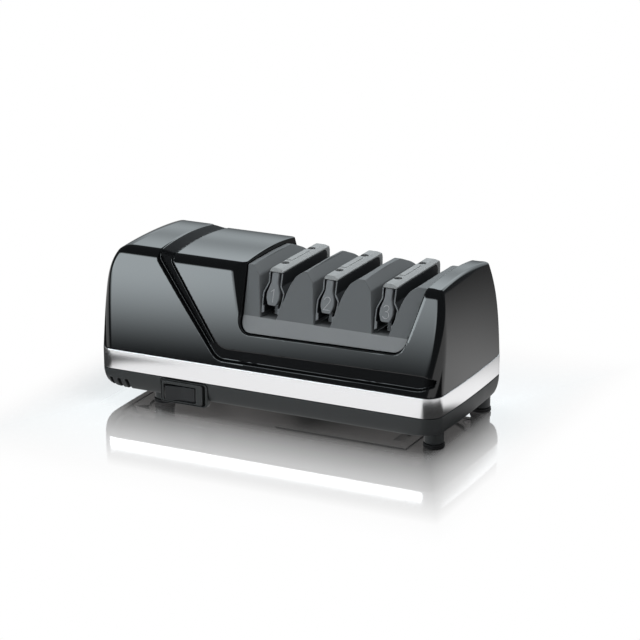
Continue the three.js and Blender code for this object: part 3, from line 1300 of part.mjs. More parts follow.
function switchRocker() {
  const [px, py] = rockerPivot();
  const half = rockerHalf();
  const dip = half * Math.tan(ROCKER_TILT);
  const profile = [
    [-half, -ROCKER_DEPTH],
    [0, -ROCKER_DEPTH + dip],
    [half, -ROCKER_DEPTH],
    [half - ROCKER_DRAFT, -ROCKER_DEPTH / 3],
    [ROCKER_NOSE_HALF, ROCKER_NOSE],
    [-ROCKER_NOSE_HALF, ROCKER_NOSE],
    [-half + ROCKER_DRAFT, -ROCKER_DEPTH / 3],
  ].map(([x, y]) => {
    const [c, s] = [Math.cos(ROCKER_TILT), Math.sin(ROCKER_TILT)];
    return [px + x * c - y * s, py + x * s + y * c];
  });
  return prismZ(profile, ROCKER_LOW, ROCKER_HIGH);
}

function switchBody() {
  const [px, py] = rockerPivot();
  const half = rockerHalf() - SWITCH_WALL;
  const [from, to] = [py + ROCKER_NOSE + 2 * GAP, -SWITCH_BACK - SWITCH_WALL - GAP];
  return block(px - half, px + half, from, to, ROCKER_LOW, ROCKER_HIGH - SWITCH_WALL / 2);
}

// Cord inlet and dressing lever

function cordGland() {
  const inside = HALF_DEPTH - BASE_WALL - GLAND_TAIL;
  const body = rodY(GLAND_RADIUS, inside, HALF_DEPTH + GAP, GLAND_X, GLAND_Z, 16);
  const flange = rodY(GLAND_FLANGE, HALF_DEPTH + GAP, REACH, GLAND_X, GLAND_Z, 20);
  return body.add(flange).subtract(rodY(GLAND_BORE, 0, LENGTH, GLAND_X, GLAND_Z, 12));
}

function leverX() {
  return stageX(STAGES - 1);
}

function dressingLever() {
  const x = leverX();
  const [low, high] = [FLOOR_TOP + GAP, SHAFT_Z + PAD_HALF_Z];
  const pin = rodZ(LEVER_PIN_RADIUS, low, high, x, LEVER_PIVOT_Y, 12);
  const arm = block(
    x - LEVER_ARM_HALF, x + LEVER_ARM_HALF, DISC_RADIUS + PAD_GAP + PAD_THICK + GAP, LEVER_PIVOT_Y,
    SHAFT_Z - LEVER_ARM_HALF_Z, SHAFT_Z + LEVER_ARM_HALF_Z,
  );
  const tab = block(
    x - LEVER_TAB_HALF, x + LEVER_TAB_HALF, LEVER_PIVOT_Y, REACH - LAP, LEVER_TAB_LOW, LEVER_TAB_HIGH,
  );
  const grip = block(
    x - LEVER_GRIP_HALF, x + LEVER_GRIP_HALF, REACH - LEVER_GRIP_DEPTH, REACH,
    LEVER_TAB_LOW - LEVER_GRIP_RIM, LEVER_TAB_HIGH + LEVER_GRIP_RIM,
  );
  return joinAll([pin, arm, tab, grip]);
}

function dressingPad() {
  const x = leverX();
  const inner = DISC_RADIUS + PAD_GAP;
  return block(
    x - PAD_HALF_X, x + PAD_HALF_X, inner, inner + PAD_THICK, SHAFT_Z - PAD_HALF_Z, SHAFT_Z + PAD_HALF_Z,
  );
}

// Assembly

const sharpener = new THREE.Group();

function add(name, body, colour, roughness, metalness = 0) {
  const material = new THREE.MeshStandardMaterial({ color: colour, roughness, metalness });
  const mesh = new THREE.Mesh(surface(body), material);
  mesh.name = name;
  sharpener.add(mesh);
}

function addHousing() {
  add("upper_housing", upperHousing(), COLOURS.gloss_black, 0.12);
  add("trim_band", trimBand(), COLOURS.silver, 0.3, 1);
  add("base_pan", basePan(), COLOURS.satin_black, 0.45);
  for (const [place, x, y] of footPlaces()) add("foot_pad_" + place, footPad(x, y), COLOURS.rubber, 0.8);
  for (const [i, [x, y]] of screwPlaces().entries())
    add("housing_screw_" + (i + 1), housingScrew(x, y), COLOURS.steel, 0.35, 1);
  add("shavings_cover", shavingsCover(), COLOURS.satin_black, 0.5);
  add("shavings_magnet", shavingsMagnet(), COLOURS.steel, 0.5, 1);
  add("switch_bezel", switchBezel(), COLOURS.satin_black, 0.4);
  add("switch_rocker", switchRocker(), COLOURS.satin_black, 0.3);
  add("switch_body", switchBody(), COLOURS.rubber, 0.6);
  add("cord_gland", cordGland(), COLOURS.rubber, 0.7);
}

function addGuides() {
  add("guide_module", guideModule(), COLOURS.grey_plastic, 0.5);
  for (let stage = 0; stage < STAGES; stage++) {
    const number = stage + 1;
    add("guide_tower_" + number, guideTower(stage), COLOURS.guide_grey, 0.45);
    add("guide_rail_" + number, guideRail(stage), COLOURS.guide_grey, 0.4);
    add("guide_leaf_" + number + "_left", guideLeaf(stage, -1), COLOURS.guide_grey, 0.45);
    add("guide_leaf_" + number + "_right", guideLeaf(stage, 1), COLOURS.guide_grey, 0.45);
    for (const [which, end] of ["front", "rear"].entries())
      add("rail_screw_" + number + "_" + end, railScrew(stage, which), COLOURS.steel, 0.35, 1);
  }
}

function addDrive() {
  add("drive_shaft", driveShaft(), COLOURS.steel, 0.25, 1);
  for (let stage = 0; stage < STAGES; stage++) {
    const number = stage + 1;
    add("disc_" + number + "_left", abrasiveDisc(stage, -1), COLOURS.abrasive, 0.9);
    add("disc_" + number + "_right", abrasiveDisc(stage, 1), COLOURS.abrasive, 0.9);
    add("disc_spring_" + number, discSpring(stage), COLOURS.steel, 0.3, 1);
  }
  add("stator_core", statorCore(), COLOURS.steel, 0.5, 1);
  add("field_coil_upper", fieldCoil(1), COLOURS.copper, 0.4, 1);
  add("field_coil_lower", fieldCoil(-1), COLOURS.copper, 0.4, 1);
  add("rotor_core", rotorCore(), COLOURS.steel, 0.4, 1);
  add("motor_bracket_left", motorBracket(-1), COLOURS.steel, 0.4, 1);
  add("motor_bracket_right", motorBracket(1), COLOURS.steel, 0.4, 1);
  add("motor_bearing_left", bearing(bearingStart(-1)), COLOURS.steel, 0.3, 1);
  add("motor_bearing_right", bearing(bearingStart(1)), COLOURS.steel, 0.3, 1);
  add("end_bearing", bearing(END_BEARING_X), COLOURS.steel, 0.3, 1);
  add("cooling_fan", coolingFan(), COLOURS.satin_black, 0.5);
  add("dressing_lever", dressingLever(), COLOURS.satin_black, 0.4);
  add("dressing_pad", dressingPad(), COLOURS.abrasive, 0.9);
}

addHousing();
addGuides();
addDrive();

export default sharpener;
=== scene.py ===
"""Electric knife sharpener: the visible shells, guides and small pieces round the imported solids."""

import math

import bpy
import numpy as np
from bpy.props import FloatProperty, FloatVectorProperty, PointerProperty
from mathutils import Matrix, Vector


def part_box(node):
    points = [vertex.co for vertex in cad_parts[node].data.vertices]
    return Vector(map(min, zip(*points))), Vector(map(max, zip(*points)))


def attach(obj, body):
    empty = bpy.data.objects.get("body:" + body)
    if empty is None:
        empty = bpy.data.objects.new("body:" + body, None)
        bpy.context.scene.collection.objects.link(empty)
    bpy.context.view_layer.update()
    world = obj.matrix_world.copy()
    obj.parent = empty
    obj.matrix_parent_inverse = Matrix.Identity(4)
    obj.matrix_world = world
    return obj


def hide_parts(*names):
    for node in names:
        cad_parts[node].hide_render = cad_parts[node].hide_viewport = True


bl_info = {
    "name": "Electric knife sharpener",
    "version": (1, 0, 0),
    "blender": (4, 5, 0),
    "location": "3D View > Sidebar > Sharpener",
    "description": "Models a three stage electric knife sharpener with its studio",
    "category": "Add Mesh",
}

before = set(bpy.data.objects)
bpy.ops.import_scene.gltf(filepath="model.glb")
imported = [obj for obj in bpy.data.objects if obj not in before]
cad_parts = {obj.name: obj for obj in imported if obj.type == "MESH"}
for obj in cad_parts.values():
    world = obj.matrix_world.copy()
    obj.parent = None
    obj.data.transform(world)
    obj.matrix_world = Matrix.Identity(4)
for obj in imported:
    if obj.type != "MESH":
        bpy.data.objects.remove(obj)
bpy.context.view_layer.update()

# Lengths are worked out in millimetres, and meshes are written in metres
MM = 0.001


def box_mm(node):
    low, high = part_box(node)
    return np.array(low) / MM, np.array(high) / MM


def middle_mm(node):
    low, high = box_mm(node)
    return (low + high) / 2


def size(name):
    """One of the sizes that the panel's user may change, in millimetres."""
    return getattr(bpy.context.scene.sharpener_sizes, name) / MM


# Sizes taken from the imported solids
BAND_LOW, BAND_HIGH = box_mm("trim_band")
HOUSING_LOW, HOUSING_HIGH = box_mm("upper_housing")
PAN_LOW, PAN_HIGH = box_mm("base_pan")
MODULE_LOW, MODULE_HIGH = box_mm("guide_module")
RAIL_LOW, RAIL_HIGH = box_mm("guide_rail_1")
TOWER_LOW, TOWER_HIGH = box_mm("guide_tower_1")
BEZEL_LOW, BEZEL_HIGH = box_mm("switch_bezel")
LEVER_LOW, LEVER_HIGH = box_mm("dressing_lever")
REACH = LEVER_HIGH[1]
STAGES = (1, 2, 3)
STAGE_X = {n: middle_mm(f"guide_tower_{n}")[0] for n in STAGES}
PITCH = STAGE_X[2] - STAGE_X[1]
MODULE_X = STAGE_X[2]
SLOT_X = {1: STAGE_X[1] - 0.5, 2: STAGE_X[2] - 1.4, 3: STAGE_X[3] + 0.3}
GUIDE_X = {1: STAGE_X[1] - 0.3, 2: STAGE_X[2] - 0.7, 3: STAGE_X[3] + 1.4}
LEFT, RIGHT = BAND_LOW[0], BAND_HIGH[0]
HALF_DEPTH = BAND_HIGH[1]
BAND_TOP = BAND_HIGH[2]
PEAK = HOUSING_HIGH[2]
SHAFT_Z = middle_mm("disc_1_left")[2]
DISC_RADIUS = (box_mm("disc_1_left")[1] - box_mm("disc_1_left")[0])[2] / 2
SCREWS = [f"housing_screw_{n}" for n in (1, 2, 3, 4)]
FEET = ["foot_pad_front_left", "foot_pad_front_right", "foot_pad_rear_left", "foot_pad_rear_right"]

# Upper body
GAP = 0.3
SEAM = 0.5
SHOULDER_DROP = 3.2
SHOULDER_Z = PEAK - SHOULDER_DROP
FACE_LEAN = 17.2
SHOULDER_HALF = HALF_DEPTH - FACE_LEAN
FACE_CROWN = 0.55
MIDDLE_DROP = 1.4
LEFT_TOP_RADIUS = 4.0
RIGHT_TOP_RADIUS = 1.8
CORNER_RADIUS_LOW = 11.0
CORNER_RADIUS_HIGH = 3.2
END_BOW = 1.8
LEFT_LEAN = 14.4
LEFT_POWER = 6.6
RIGHT_LEAN = 7.05
RIGHT_POWER = 3.6
HOUSING_WALL = 4.8
SCREW_POST_RADIUS = 4.4
SCREW_HOLE_RADIUS = 2.0
SCREW_HEAD_RADIUS = 3.7
SCREW_HEAD_RECESS = 1.3

# Opening for the guide module
LEDGE_Z = box_mm("guide_tower_1")[0][2] - GAP
RIDGE_Z = PEAK - 5.2
OPENING_HALF = PITCH + 20.2
OPENING_HALF_HIGH = OPENING_HALF + 1.2
OPENING_FLARE = 10.4
OPENING_FLOOR_LEFT = LEDGE_Z - 10.3
OPENING_FLOOR_RIGHT = LEDGE_Z - 8.7
OPENING_RADIUS = 8.5
OPENING_WALL = 4.0
BEVEL_TOP_Z = LEDGE_Z + 29.8
BEVEL_OUT = 8.6
BEVEL_BACK = 13.4
OVERRUN = 6.0

# Groove over the left shoulder and along the front
GROOVE_TOP_STEP = 0.4
GROOVE_TOP_LEFT = LEFT + 39.8
GROOVE_TOP_RIGHT = GROOVE_TOP_LEFT + 11.6
GROOVE_BEND_Z = SHOULDER_Z - 5.6
GROOVE_FOOT_LEFT = LEFT + 90.5
GROOVE_FOOT_RIGHT = LEFT + 92.0
GROOVE_LOW_Z = BAND_TOP + 3.6
GROOVE_HIGH_Z = GROOVE_LOW_Z + 7.3
GROOVE_END_X = RIGHT - 14.0
GROOVE_TIP_X = RIGHT - 4.0
# A bead runs inside the slanted part, and the matt finish starts inside the outline, or the bead
BEAD_IN = 1.75
BEAD_HALF = 0.45
BEAD_DOWN = 0.9
BEAD_LOW_Z = GROOVE_HIGH_Z + 3
BEAD_HIGH_Z = SHOULDER_Z - 4
MATT_IN = 0.7
MATT_IN_BEAD = 2.3

# Guide module
LEDGE_HALF_LOW = 50.0
LEDGE_HALF_HIGH = 43.0
RIDGE_HALF = 33.5
MODULE_EDGE = 0.4
MODULE_WALL = 3.2
DECK = 3.4
DECK_OPENING_HALF = 29.0
SLOT_HALF = 5.7
MODULE_BODY_HALF = 52.5
MODULE_DEPTH_HALF = 44.2


# Fields: a field gives the distance to a surface in millimetres, below zero inside the material

def smooth(share):
    share = np.clip(share, 0, 1)
    return share * share * (3 - 2 * share)


def common(a, b, radius=0.0):
    """What two fields share, with its outer edge rounded."""
    sharp = np.maximum(a, b)
    if np.isscalar(radius) and radius == 0:
        return sharp
    return np.minimum(-radius, sharp) + np.hypot(np.maximum(radius + a, 0), np.maximum(radius + b, 0))


def join(a, b, radius=0.0):
    return -common(-a, -b, radius)


def between(u, low, high):
    return np.maximum(low - u, u - high)


def block(x, y, z, low, high, radius=0.0):
    sides = [np.abs(c - (a + b) / 2) - (b - a) / 2 + radius for c, a, b in zip((x, y, z), low, high)]
    outer = np.sqrt(sum(np.maximum(side, 0) ** 2 for side in sides))
    return outer + np.minimum(np.maximum(np.maximum(sides[0], sides[1]), sides[2]), 0) - radius


def rod(u, v, radius):
    return np.hypot(u, v) - radius


def from_line(u, v, a, b):
    """Square of the distance to a line from a to b in a plane."""
    (au, av), (bu, bv) = a, b
    eu, ev = bu - au, bv - av
    along = np.clip(((u - au) * eu + (v - av) * ev) / (eu * eu + ev * ev), 0, 1)
    return (u - au - along * eu) ** 2 + (v - av - along * ev) ** 2


def ribbon(u, v, points, half):
    """Distance to a strip that follows an open path in a plane."""
    best = np.inf
    for a, b in zip(points[:-1], points[1:]):
        best = np.minimum(best, from_line(u, v, a, b))
    return np.sqrt(best) - half


def outline(u, v, points):
    """Distance to a closed outline in a plane."""
    best, inside = np.inf, False
    for a, b in zip(points, np.roll(points, -1, axis=0)):
        best = np.minimum(best, from_line(u, v, a, b))
        if a[1] != b[1]:
            cross = a[0] + (v - a[1]) * (b[0] - a[0]) / (b[1] - a[1])
            inside = inside ^ (((a[1] > v) != (b[1] > v)) & (u < cross))
    return np.where(inside, -1, 1) * np.sqrt(best)


def rounded(corners, turn=math.radians(9)):
    """An outline from (u, v, radius) corners, with arcs at the corners that have a radius."""
    points = []
    for i, (u, v, radius) in enumerate(corners):
        here = np.array((u, v), float)
        if not radius:
            points.append(here)
            continue
        back = np.array(corners[i - 1][:2]) - here
        ahead = np.array(corners[(i + 1) % len(corners)][:2]) - here
        back, ahead = back / np.hypot(*back), ahead / np.hypot(*ahead)
        half = math.acos(np.clip(back @ ahead, -1, 1)) / 2
        reach = radius / math.tan(half)
        centre = here + (back + ahead) / np.hypot(*(back + ahead)) * radius / math.sin(half)
        start, end = here + back * reach - centre, here + ahead * reach - centre
        sweep = math.pi - 2 * half
        steps = max(2, math.ceil(sweep / turn))
        for i_step in range(steps + 1):
            share = i_step / steps
            arm = start * math.sin((1 - share) * sweep) + end * math.sin(share * sweep)
            points.append(centre + arm / math.sin(sweep))
    return np.array(points)


CORNERS = np.array([(i, j, k) for i in (0, 1) for j in (0, 1) for k in (0, 1)])
EDGES = [(a, b) for a in range(8) for b in range(a + 1, 8) if abs(CORNERS[a] - CORNERS[b]).sum() == 1]


def surface_net(field, low, high, cell):
    """Points and quads of the closed surface where the field is zero."""
    axes = [np.arange(a - 1.5 * cell, b + 2.5 * cell, cell, dtype=np.float32) for a, b in zip(low, high)]
    values = field(*np.meshgrid(*axes, indexing="ij", sparse=True))
    inside = values < 0
    count = np.zeros([n - 1 for n in inside.shape], np.int8)
    for i, j, k in CORNERS:
        count += inside[i:inside.shape[0] - 1 + i, j:inside.shape[1] - 1 + j, k:inside.shape[2] - 1 + k]
    cells = np.argwhere((count > 0) & (count < 8))
    number = np.full(count.shape, -1, np.int32)
    number[tuple(cells.T)] = np.arange(len(cells))
    at = np.stack([values[tuple((cells + corner).T)] for corner in CORNERS])
    total = np.zeros((len(cells), 3))
    crossings = np.zeros(len(cells))
    for a, b in EDGES:
        cross = (at[a] < 0) != (at[b] < 0)
        share = at[a][cross] / (at[a][cross] - at[b][cross])
        total[cross] += CORNERS[a] + share[:, None] * (CORNERS[b] - CORNERS[a])
        crossings[cross] += 1
    places = np.array([axis[0] for axis in axes]) + cell * (cells + total / crossings[:, None])
    quads = []
    for axis in range(3):
        along, u, v = (np.roll(np.eye(3, dtype=int), -axis, axis=0)[i] for i in range(3))
        first = inside[tuple(slice(0, n - s) for n, s in zip(inside.shape, along))]
        second = inside[tuple(slice(s, None) for s in along)]
        nodes = np.argwhere(first != second)
        ring = np.stack([number[tuple((nodes - off).T)] for off in (u + v, v, 0 * u, u)], axis=1)
        outward = ~first[tuple(nodes.T)]
        ring[outward] = ring[outward][:, ::-1]
        quads.append(ring)
    return places, np.concatenate(quads)


def slope(field, places, step=0.02):
    """The field's value and its unit slope at some points."""
    value = field(*places.T)
    slopes = np.empty_like(places)
    for axis in range(3):
        ahead, back = places.copy(), places.copy()
        ahead[:, axis] += step
        back[:, axis] -= step
        slopes[:, axis] = (field(*ahead.T) - field(*back.T)) / (2 * step)
    return value, slopes


def new_mesh(name, places, faces):
    mesh = bpy.data.meshes.new(name)
    mesh.from_pydata((places * MM).tolist(), [], [list(map(int, face)) for face in faces])
    mesh.validate()
    return mesh


def place(name, mesh):
    piece = bpy.data.objects.new(name, mesh)
    bpy.context.scene.collection.objects.link(piece)
    return piece


def thinned(piece, share):
    """The piece's mesh with fewer faces, kept close where it turns sharply."""
    thin = piece.modifiers.new("thin", "DECIMATE")
    thin.ratio = share
    graph = bpy.context.evaluated_depsgraph_get()
    mesh = bpy.data.meshes.new_from_object(piece.evaluated_get(graph))
    piece.modifiers.clear()
    piece.data = mesh
    return mesh


def skin(name, field, low, high, cell, faces):
    """A piece whose closed mesh follows a field, with the field's own normals."""
    places, quads = surface_net(field, low, high, cell)
    mesh = bpy.data.meshes.new(name)
    mesh.vertices.add(len(places))
    mesh.vertices.foreach_set("co", (places * MM).astype(np.float32).ravel())
    mesh.loops.add(quads.size)
    mesh.loops.foreach_set("vertex_index", quads.ravel().astype(np.int32))
    mesh.polygons.add(len(quads))
    mesh.polygons.foreach_set("loop_start", np.arange(0, quads.size, 4, dtype=np.int32))
    mesh.update()
    mesh.validate()
    piece = place(name, mesh)
    if faces < 2 * len(quads):
        mesh = thinned(piece, faces / (2 * len(quads)))
    places = np.empty(len(mesh.vertices) * 3, np.float32)
    mesh.vertices.foreach_get("co", places)
    places = places.reshape(-1, 3).astype(float) / MM
    for _ in range(3):
        value, slopes = slope(field, places)
        size = np.maximum(np.linalg.norm(slopes, axis=1), 0.3)
        move = np.clip(value / size, -cell / 2, cell / 2)
        places -= slopes / size[:, None] * move[:, None]
    mesh.vertices.foreach_set("co", (places * MM).astype(np.float32).ravel())
    mesh.update()
    _, slopes = slope(field, places)
    normals = slopes / np.maximum(np.linalg.norm(slopes, axis=1), 1e-6)[:, None]
    mesh.polygons.foreach_set("use_smooth", [True] * len(mesh.polygons))
    mesh.normals_split_custom_set_from_vertices(normals.tolist())
    return piece


# Materials

def material(name, colour, roughness, metallic=0.0, grain=0.0, grain_size=0.0004, mottle=0.0,
             mottle_size=0.02, stretch=(1, 1, 1), wear=0.1, specular=0.5):
    """A moulded or machined finish: a fine grain in relief, and colour and polish that vary a little."""
    made = bpy.data.materials.new(name)
    made.use_nodes = True
    nodes, links = made.node_tree.nodes, made.node_tree.links
    shader = nodes["Principled BSDF"]
    shader.inputs["Metallic"].default_value = metallic
    shader.inputs["Specular IOR Level"].default_value = specular
    where = nodes.new("ShaderNodeTexCoord")
    lay = nodes.new("ShaderNodeMapping")
    lay.inputs["Scale"].default_value = stretch
    links.new(where.outputs["Object"], lay.inputs["Vector"])
    patch = nodes.new("ShaderNodeTexNoise")
    patch.inputs["Scale"].default_value = 1 / mottle_size
    patch.inputs["Detail"].default_value = 4
    links.new(lay.outputs["Vector"], patch.inputs["Vector"])
    tint = nodes.new("ShaderNodeMapRange")
    tint.inputs["To Min"].default_value = 1 - mottle
    tint.inputs["To Max"].default_value = 1 + mottle
    links.new(patch.outputs["Fac"], tint.inputs["Value"])
    shade = nodes.new("ShaderNodeVectorMath")
    shade.operation = "SCALE"
    shade.inputs[0].default_value = colour[:3]
    links.new(tint.outputs["Result"], shade.inputs["Scale"])
    links.new(shade.outputs["Vector"], shader.inputs["Base Color"])
    fine = nodes.new("ShaderNodeTexNoise")
    fine.inputs["Scale"].default_value = 1 / grain_size
    fine.inputs["Detail"].default_value = 3
    links.new(lay.outputs["Vector"], fine.inputs["Vector"])
    polish = nodes.new("ShaderNodeMapRange")
    polish.inputs["To Min"].default_value = roughness * (1 - wear)
    polish.inputs["To Max"].default_value = roughness * (1 + wear)
    links.new(patch.outputs["Fac"], polish.inputs["Value"])
    links.new(polish.outputs["Result"], shader.inputs["Roughness"])
    relief = nodes.new("ShaderNodeBump")
    relief.inputs["Strength"].default_value = 1
    relief.inputs["Distance"].default_value = grain
    links.new(fine.outputs["Fac"], relief.inputs["Height"])
    links.new(relief.outputs["Normal"], shader.inputs["Normal"])
    return made


FINISHES = {}
RECIPES = {
    "gloss_black": dict(roughness=0.06, grain=4e-7, grain_size=0.003,
                        mottle=0.04, mottle_size=0.03, wear=0.15),
    "channel_black": dict(roughness=0.6, grain=8e-6, mottle=0.05, specular=0.08),
    "satin_black": dict(roughness=0.5, grain=1.4e-5, mottle=0.06, mottle_size=0.012, specular=0.3),
    "silver_band": dict(roughness=0.22, metallic=1.0, grain=4e-7, grain_size=0.0006,
                        stretch=(0.04, 0.04, 1), mottle=0.02, mottle_size=0.004),
    "module_grey": dict(roughness=0.5, grain=1.0e-5, mottle=0.05, mottle_size=0.014, specular=0.25),
    # painted light: the ledge is the module's own grey plastic, given a lighter copy where it catches more
    # light than the fins
    "ledge_grey": dict(roughness=0.45, grain=1.0e-5, mottle=0.05, mottle_size=0.014, specular=0.3),
    "guide_grey": dict(roughness=0.42, grain=8e-6, mottle=0.05, mottle_size=0.01, specular=0.3),
    "tower_grey": dict(roughness=0.45, grain=8e-6, mottle=0.04, mottle_size=0.01, specular=0.25),
    # painted shade: the spring leaves' sides, in the gaps beside the towers, are painted near black
    "leaf_black": dict(roughness=0.45, grain=6e-6, mottle=0.05, mottle_size=0.01, specular=0.2),
    "numeral_grey": dict(roughness=0.5, grain=2e-6, mottle=0.02, mottle_size=0.004),
    "rocker_black": dict(roughness=0.4, grain=6e-6, mottle=0.04, mottle_size=0.01, specular=0.3),
    "rubber": dict(roughness=0.7, grain=2e-5, grain_size=0.0006, mottle=0.1, specular=0.3),
    "steel": dict(roughness=0.3, metallic=1.0, grain=1e-6, mottle=0.05),
    "dark_steel": dict(roughness=0.4, metallic=1.0, grain=2e-6, mottle=0.08, mottle_size=0.002),
    "copper": dict(roughness=0.35, metallic=1.0, grain=3e-5, grain_size=0.0007,
                   stretch=(1, 0.05, 1), mottle=0.1),
    "abrasive": dict(roughness=0.75, grain=5e-5, grain_size=0.00035, mottle=0.15, mottle_size=0.001),
}


def finish(name):
    """One of the finishes, made once."""
    if name not in FINISHES:
        colour = getattr(bpy.context.scene.sharpener_finishes, name)
        FINISHES[name] = material(name, colour, **RECIPES[name])
    return FINISHES[name]


def dress(piece, slot, body, *nodes, look=None):
    """Gives a piece its finish, the body it rides on and the solids that it stands for."""
    piece.data.materials.clear()
    piece.data.materials.append(finish(look or slot))
    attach(piece, body)
    if nodes:
        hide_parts(*nodes)
    return piece


def paint(piece, look, chosen):
    """Gives another finish to the faces whose middles a test chooses."""
    mesh = piece.data
    middles = np.empty(len(mesh.polygons) * 3, np.float32)
    mesh.polygons.foreach_get("center", middles)
    mesh.materials.append(finish(look))
    mesh.polygons.foreach_set("material_index", chosen(*(middles.reshape(-1, 3).T / MM)).astype(np.int32))


def moved_copy(piece, name, offset):
    """The same piece again, moved by an offset in millimetres."""
    mesh = piece.data.copy()
    mesh.transform(Matrix.Translation(Vector(offset) * MM))
    return place(name, mesh)


# Body form

def half_depth(z):
    rise = (z - BAND_TOP) / (SHOULDER_Z - BAND_TOP)
    crown = FACE_CROWN * 4 * np.clip(rise * (1 - rise), 0, 1)
    return HALF_DEPTH - FACE_LEAN * np.maximum(rise, 0) + crown


def faces_form(depth, z):
    """Distance to the leaning front and back."""
    return (depth - half_depth(z)) / math.hypot(1, FACE_LEAN / (SHOULDER_Z - BAND_TOP))


def ends_form(x, depth, z):
    """Distance to the bowed, leaning ends."""
    t = np.clip((z - BAND_TOP) / (PEAK - BAND_TOP), 0, 1.05)
    bow = END_BOW * (depth / HALF_DEPTH) ** 2
    left = LEFT + LEFT_LEAN * t ** LEFT_POWER + bow - x
    right = x - RIGHT + RIGHT_LEAN * t ** RIGHT_POWER + bow
    span = PEAK - BAND_TOP
    left = left / np.sqrt(1 + (LEFT_LEAN * LEFT_POWER / span * t ** (LEFT_POWER - 1)) ** 2)
    right = right / np.sqrt(1 + (RIGHT_LEAN * RIGHT_POWER / span * t ** (RIGHT_POWER - 1)) ** 2)
    return np.maximum(left, right)


def body_form(x, y, z):
    """The upper body before anything is cut: leaning faces, arched top, rounded shoulders."""
    depth = np.abs(y)
    t = np.clip((z - BAND_TOP) / (PEAK - BAND_TOP), 0, 1.05)
    faces = faces_form(depth, z)
    ends = ends_form(x, depth, z)
    sides = common(faces, ends, CORNER_RADIUS_LOW + (CORNER_RADIUS_HIGH - CORNER_RADIUS_LOW) * t)
    drop = MIDDLE_DROP * (x > GROOVE_TOP_RIGHT - GAP)
    top = top_form(depth, z, drop)
    end_edge = np.where(x < MODULE_X, LEFT_TOP_RADIUS, RIGHT_TOP_RADIUS)
    shoulder = size("shoulder_radius")
    edge = end_edge + (shoulder - end_edge) * smooth((faces - ends) / shoulder + 0.5)
    return common(sides, top, edge)


def top_form(depth, z, drop):
    """Distance to the arched top, lowered by a drop."""
    arch = PEAK - SHOULDER_DROP * (depth / SHOULDER_HALF) ** 2 - drop
    return (z - arch) / np.sqrt(1 + (2 * SHOULDER_DROP * depth / SHOULDER_HALF ** 2) ** 2)


def groove_floor(x, y, z):
    """The groove's floor: deep in the front, and a ramp between the two levels over the top."""
    depth = np.abs(y)
    sides = common(faces_form(depth, z), ends_form(x, depth, z), CORNER_RADIUS_LOW) + size("groove_depth")
    share = smooth((x - GROOVE_TOP_LEFT) / (GROOVE_TOP_RIGHT - GROOVE_TOP_LEFT))
    top = top_form(depth, z, GROOVE_TOP_STEP + MIDDLE_DROP * share)
    return common(sides, top, size("shoulder_radius") / 2)


ABOVE = PEAK + OVERRUN
GROOVE = rounded([
    (GROOVE_TOP_LEFT, ABOVE, 0),
    (GROOVE_TOP_LEFT, GROOVE_BEND_Z, 4),
    (GROOVE_FOOT_LEFT, GROOVE_LOW_Z, 12),
    (GROOVE_END_X, GROOVE_LOW_Z + 0.6, 20),
    (GROOVE_TIP_X - 1, GROOVE_LOW_Z + 3.6, 0.8),
    (GROOVE_TIP_X, GROOVE_HIGH_Z - 0.2, 0.8),
    (GROOVE_END_X + 2, GROOVE_HIGH_Z + 2.1, 10),
    (GROOVE_FOOT_RIGHT, GROOVE_HIGH_Z, 13),
    (GROOVE_TOP_RIGHT, GROOVE_BEND_Z, 4),
    (GROOVE_TOP_RIGHT, ABOVE, 0),
])
OPENING = rounded([
    (MODULE_X - OPENING_HALF_HIGH, ABOVE, 0),
    (MODULE_X - OPENING_HALF, LEDGE_Z, 0),
    (MODULE_X - OPENING_HALF, OPENING_FLOOR_LEFT, OPENING_RADIUS),
    (MODULE_X + OPENING_HALF, OPENING_FLOOR_RIGHT, OPENING_RADIUS),
    (MODULE_X + OPENING_HALF - 1.0, LEDGE_Z - 2.0, 6),
    (MODULE_X + OPENING_HALF + OPENING_FLARE, ABOVE, 0),
])


def corner_bevel(x, y, z):
    """The plane that opens each corner of the opening towards its top."""
    apex = np.array((OPENING_HALF, half_depth(LEDGE_Z), LEDGE_Z))
    out = np.array((OPENING_HALF + BEVEL_OUT, half_depth(BEVEL_TOP_Z), BEVEL_TOP_Z))
    back = np.array((OPENING_HALF, apex[1] - BEVEL_BACK, BEVEL_TOP_Z))
    normal = np.cross(out - apex, back - apex)
    normal /= np.linalg.norm(normal)
    if normal[1] < 0:
        normal = -normal
    return sum(n * (c - a) for n, c, a in zip(normal, (np.abs(x - MODULE_X), np.abs(y), z), apex))


def upper_housing(x, y, z):
    body = body_form(x, y, z)
    groove = outline(x, z, GROOVE)
    lip = size("lip_radius")
    shell = common(body, join(-groove, groove_floor(x, y, z), lip), lip)
    bead = common(np.abs(groove + BEAD_IN) - BEAD_HALF, body + BEAD_DOWN, 0.4)
    shell = np.minimum(shell, np.maximum(bead, between(z, BEAD_LOW_Z, BEAD_HIGH_Z)))
    opening = outline(x, z, OPENING)
    shell = common(shell, -opening, lip)
    shell = common(shell, np.minimum(corner_bevel(x, y, z), z - LEDGE_Z), lip)
    shell = common(shell, BAND_TOP + GAP - z, GAP)
    shell = np.maximum(shell, -np.maximum(body + HOUSING_WALL, OPENING_WALL - opening))
    for screw in SCREWS:
        sx, sy, _ = middle_mm(screw)
        within = np.maximum(body + HOUSING_WALL / 2, z - LEDGE_Z)
        shell = np.minimum(shell, np.maximum(rod(x - sx, y - sy, SCREW_POST_RADIUS), within))
        hole = np.maximum(rod(x - sx, y - sy, SCREW_HOLE_RADIUS), z - box_mm(screw)[1][2] - OVERRUN)
        shell = np.maximum(shell, -hole)
    well = block(
        x, y, z,
        (MODULE_X - MODULE_BODY_HALF - SEAM, -MODULE_DEPTH_HALF - SEAM, 0),
        (MODULE_X + MODULE_BODY_HALF + SEAM, MODULE_DEPTH_HALF + SEAM, OPENING_FLOOR_RIGHT + SEAM),
    )
    return np.maximum(shell, -well)


